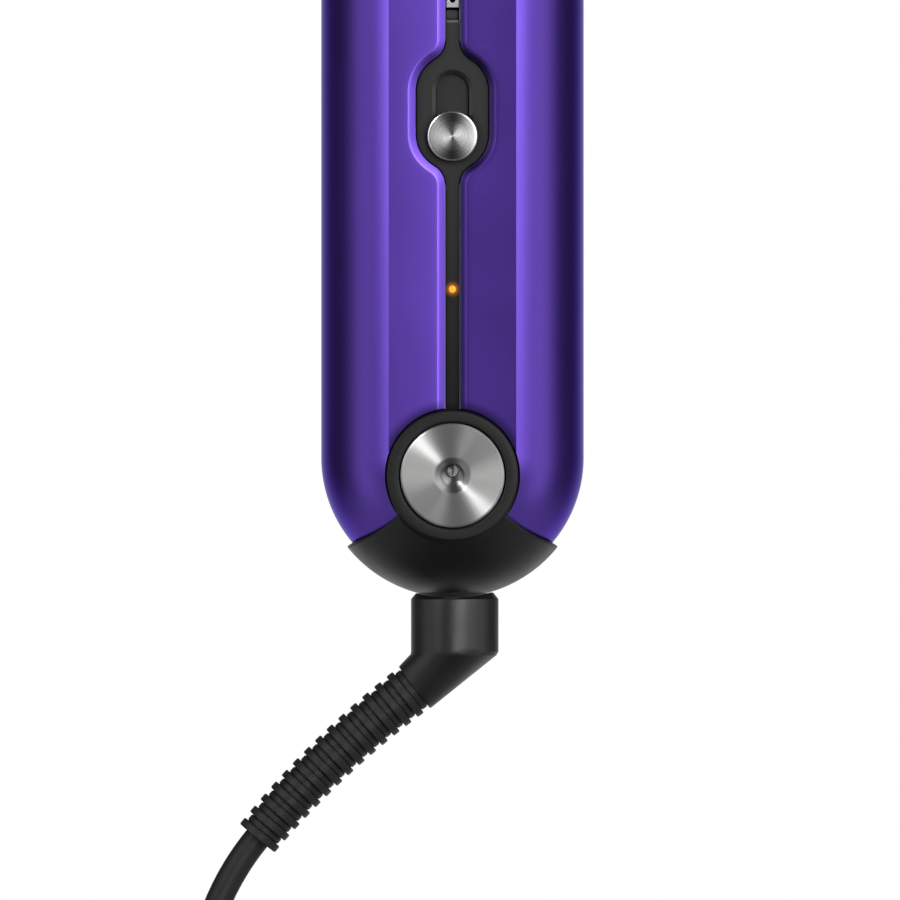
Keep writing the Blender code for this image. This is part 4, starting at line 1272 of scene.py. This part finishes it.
def build_world():
    """White to the camera. The object sees a dark room, a pale wall behind it and light low at both sides."""
    world = bpy.data.worlds.new("studio")
    bpy.context.scene.world = world
    world.use_nodes = True
    world.node_tree.nodes.clear()
    nodes = Nodes(world.node_tree)
    x, y, z = nodes.split(nodes.node("TexCoord").outputs["Generated"])
    wall = nodes.span(nodes.minus(y, nodes.times(z, 0.3)), 0.075, 1.0, 0.6, 1.1, "SMOOTHSTEP")
    below = nodes.span(z, 0.0, 0.36, -0.15, -0.6, "SMOOTHSTEP")
    beside = nodes.span(nodes.absolute(x), 0.0, 1.0, 0.2, 0.7, "SMOOTHSTEP")
    room = nodes.node("Background", {"Strength": nodes.plus(nodes.times(below, beside), wall)})
    white = nodes.node("Background", {"Color": (1, 1, 1)})
    to_camera = nodes.node("LightPath").outputs["Is Camera Ray"]
    output = nodes.node("OutputWorld")
    nodes.show(to_camera, room.outputs["Background"], white.outputs["Background"], output)


def softbox(name, azimuth, elevation, distance, size, radiance, fade, aim_z=0.03):
    """An area light that fades towards its edges. Azimuth is to the right of the camera, in degrees."""
    turn, lift = math.radians(azimuth), math.radians(elevation)
    direction = Vector((math.sin(turn) * math.cos(lift), -math.cos(turn) * math.cos(lift), math.sin(lift)))
    light = bpy.data.lights.new(name, "AREA")
    light.shape = "RECTANGLE"
    light.size, light.size_y = size
    light.energy = radiance * math.pi * size[0] * size[1]
    light.use_nodes = True
    nodes = Nodes(light.node_tree)
    edges = []
    for place, share in zip(nodes.split(nodes.node("NewGeometry").outputs["Parametric"]), fade):
        edges.append(nodes.span(nodes.maths("PINGPONG", place, 0.5), 0.0, 1.0, 0.0, share / 2, "SMOOTHSTEP"))
    emission = next(node for node in nodes.tree.nodes if node.type == "EMISSION")
    nodes.feed(emission.inputs["Strength"], nodes.times(*edges))
    obj = placed(name, light)
    obj.location = Vector((0, 0, aim_z)) + direction * distance
    obj.rotation_euler = (-direction).to_track_quat("-Z", "Y").to_euler()
    return obj


def light_only(light, names):
    """Limits a light to some of the pieces."""
    receivers = bpy.data.collections.new(light.name + "_receivers")
    for name in names:
        receivers.objects.link(bpy.data.objects[name])
    light.light_linking.receiver_collection = receivers


def build_camera():
    camera = bpy.data.cameras.new("camera")
    camera.sensor_width = 36
    camera.lens = camera.sensor_width * (CAMERA_DISTANCE - FLAT_Y) / SHOWN_WIDTH
    camera.clip_start, camera.clip_end = 0.1, 60
    obj = placed("camera", camera)
    obj.location = Vector((CAMERA_X, -CAMERA_DISTANCE, CAMERA_Z)) * MM
    obj.rotation_euler = (math.radians(90), 0, 0)
    bpy.context.scene.camera = obj


build_floor()
build_world()
softbox("key", 20, 0, 0.8, (0.42, 0.9), 6.6, (0.9, 0.8), 0.255)
light_only(softbox("high_left", -54, 37, 0.6, (0.3, 0.2), 34.0, (0.9, 0.7)), TURNED_PIECES)
light_only(softbox("lead_light", 5, -8, 0.8, (0.22, 0.3), 9.0, (0.9, 0.9)), LEAD_PIECES)
softbox("strip_right", 48, 0, 0.6, (0.3, 1.0), 3.3, (0.9, 0.8), 0.32)
softbox("strip_left", -45, 0, 0.5, (0.25, 0.9), 3.4, (0.9, 0.8), 0.3)
softbox("wash_right", 76, 4, 0.6, (0.56, 1.0), 0.72, (1.0, 0.6))
softbox("wash_left", -76, 4, 0.5, (0.46, 0.9), 0.55, (1.0, 0.6))
build_camera()
bpy.context.scene.view_settings.view_transform = "Standard"
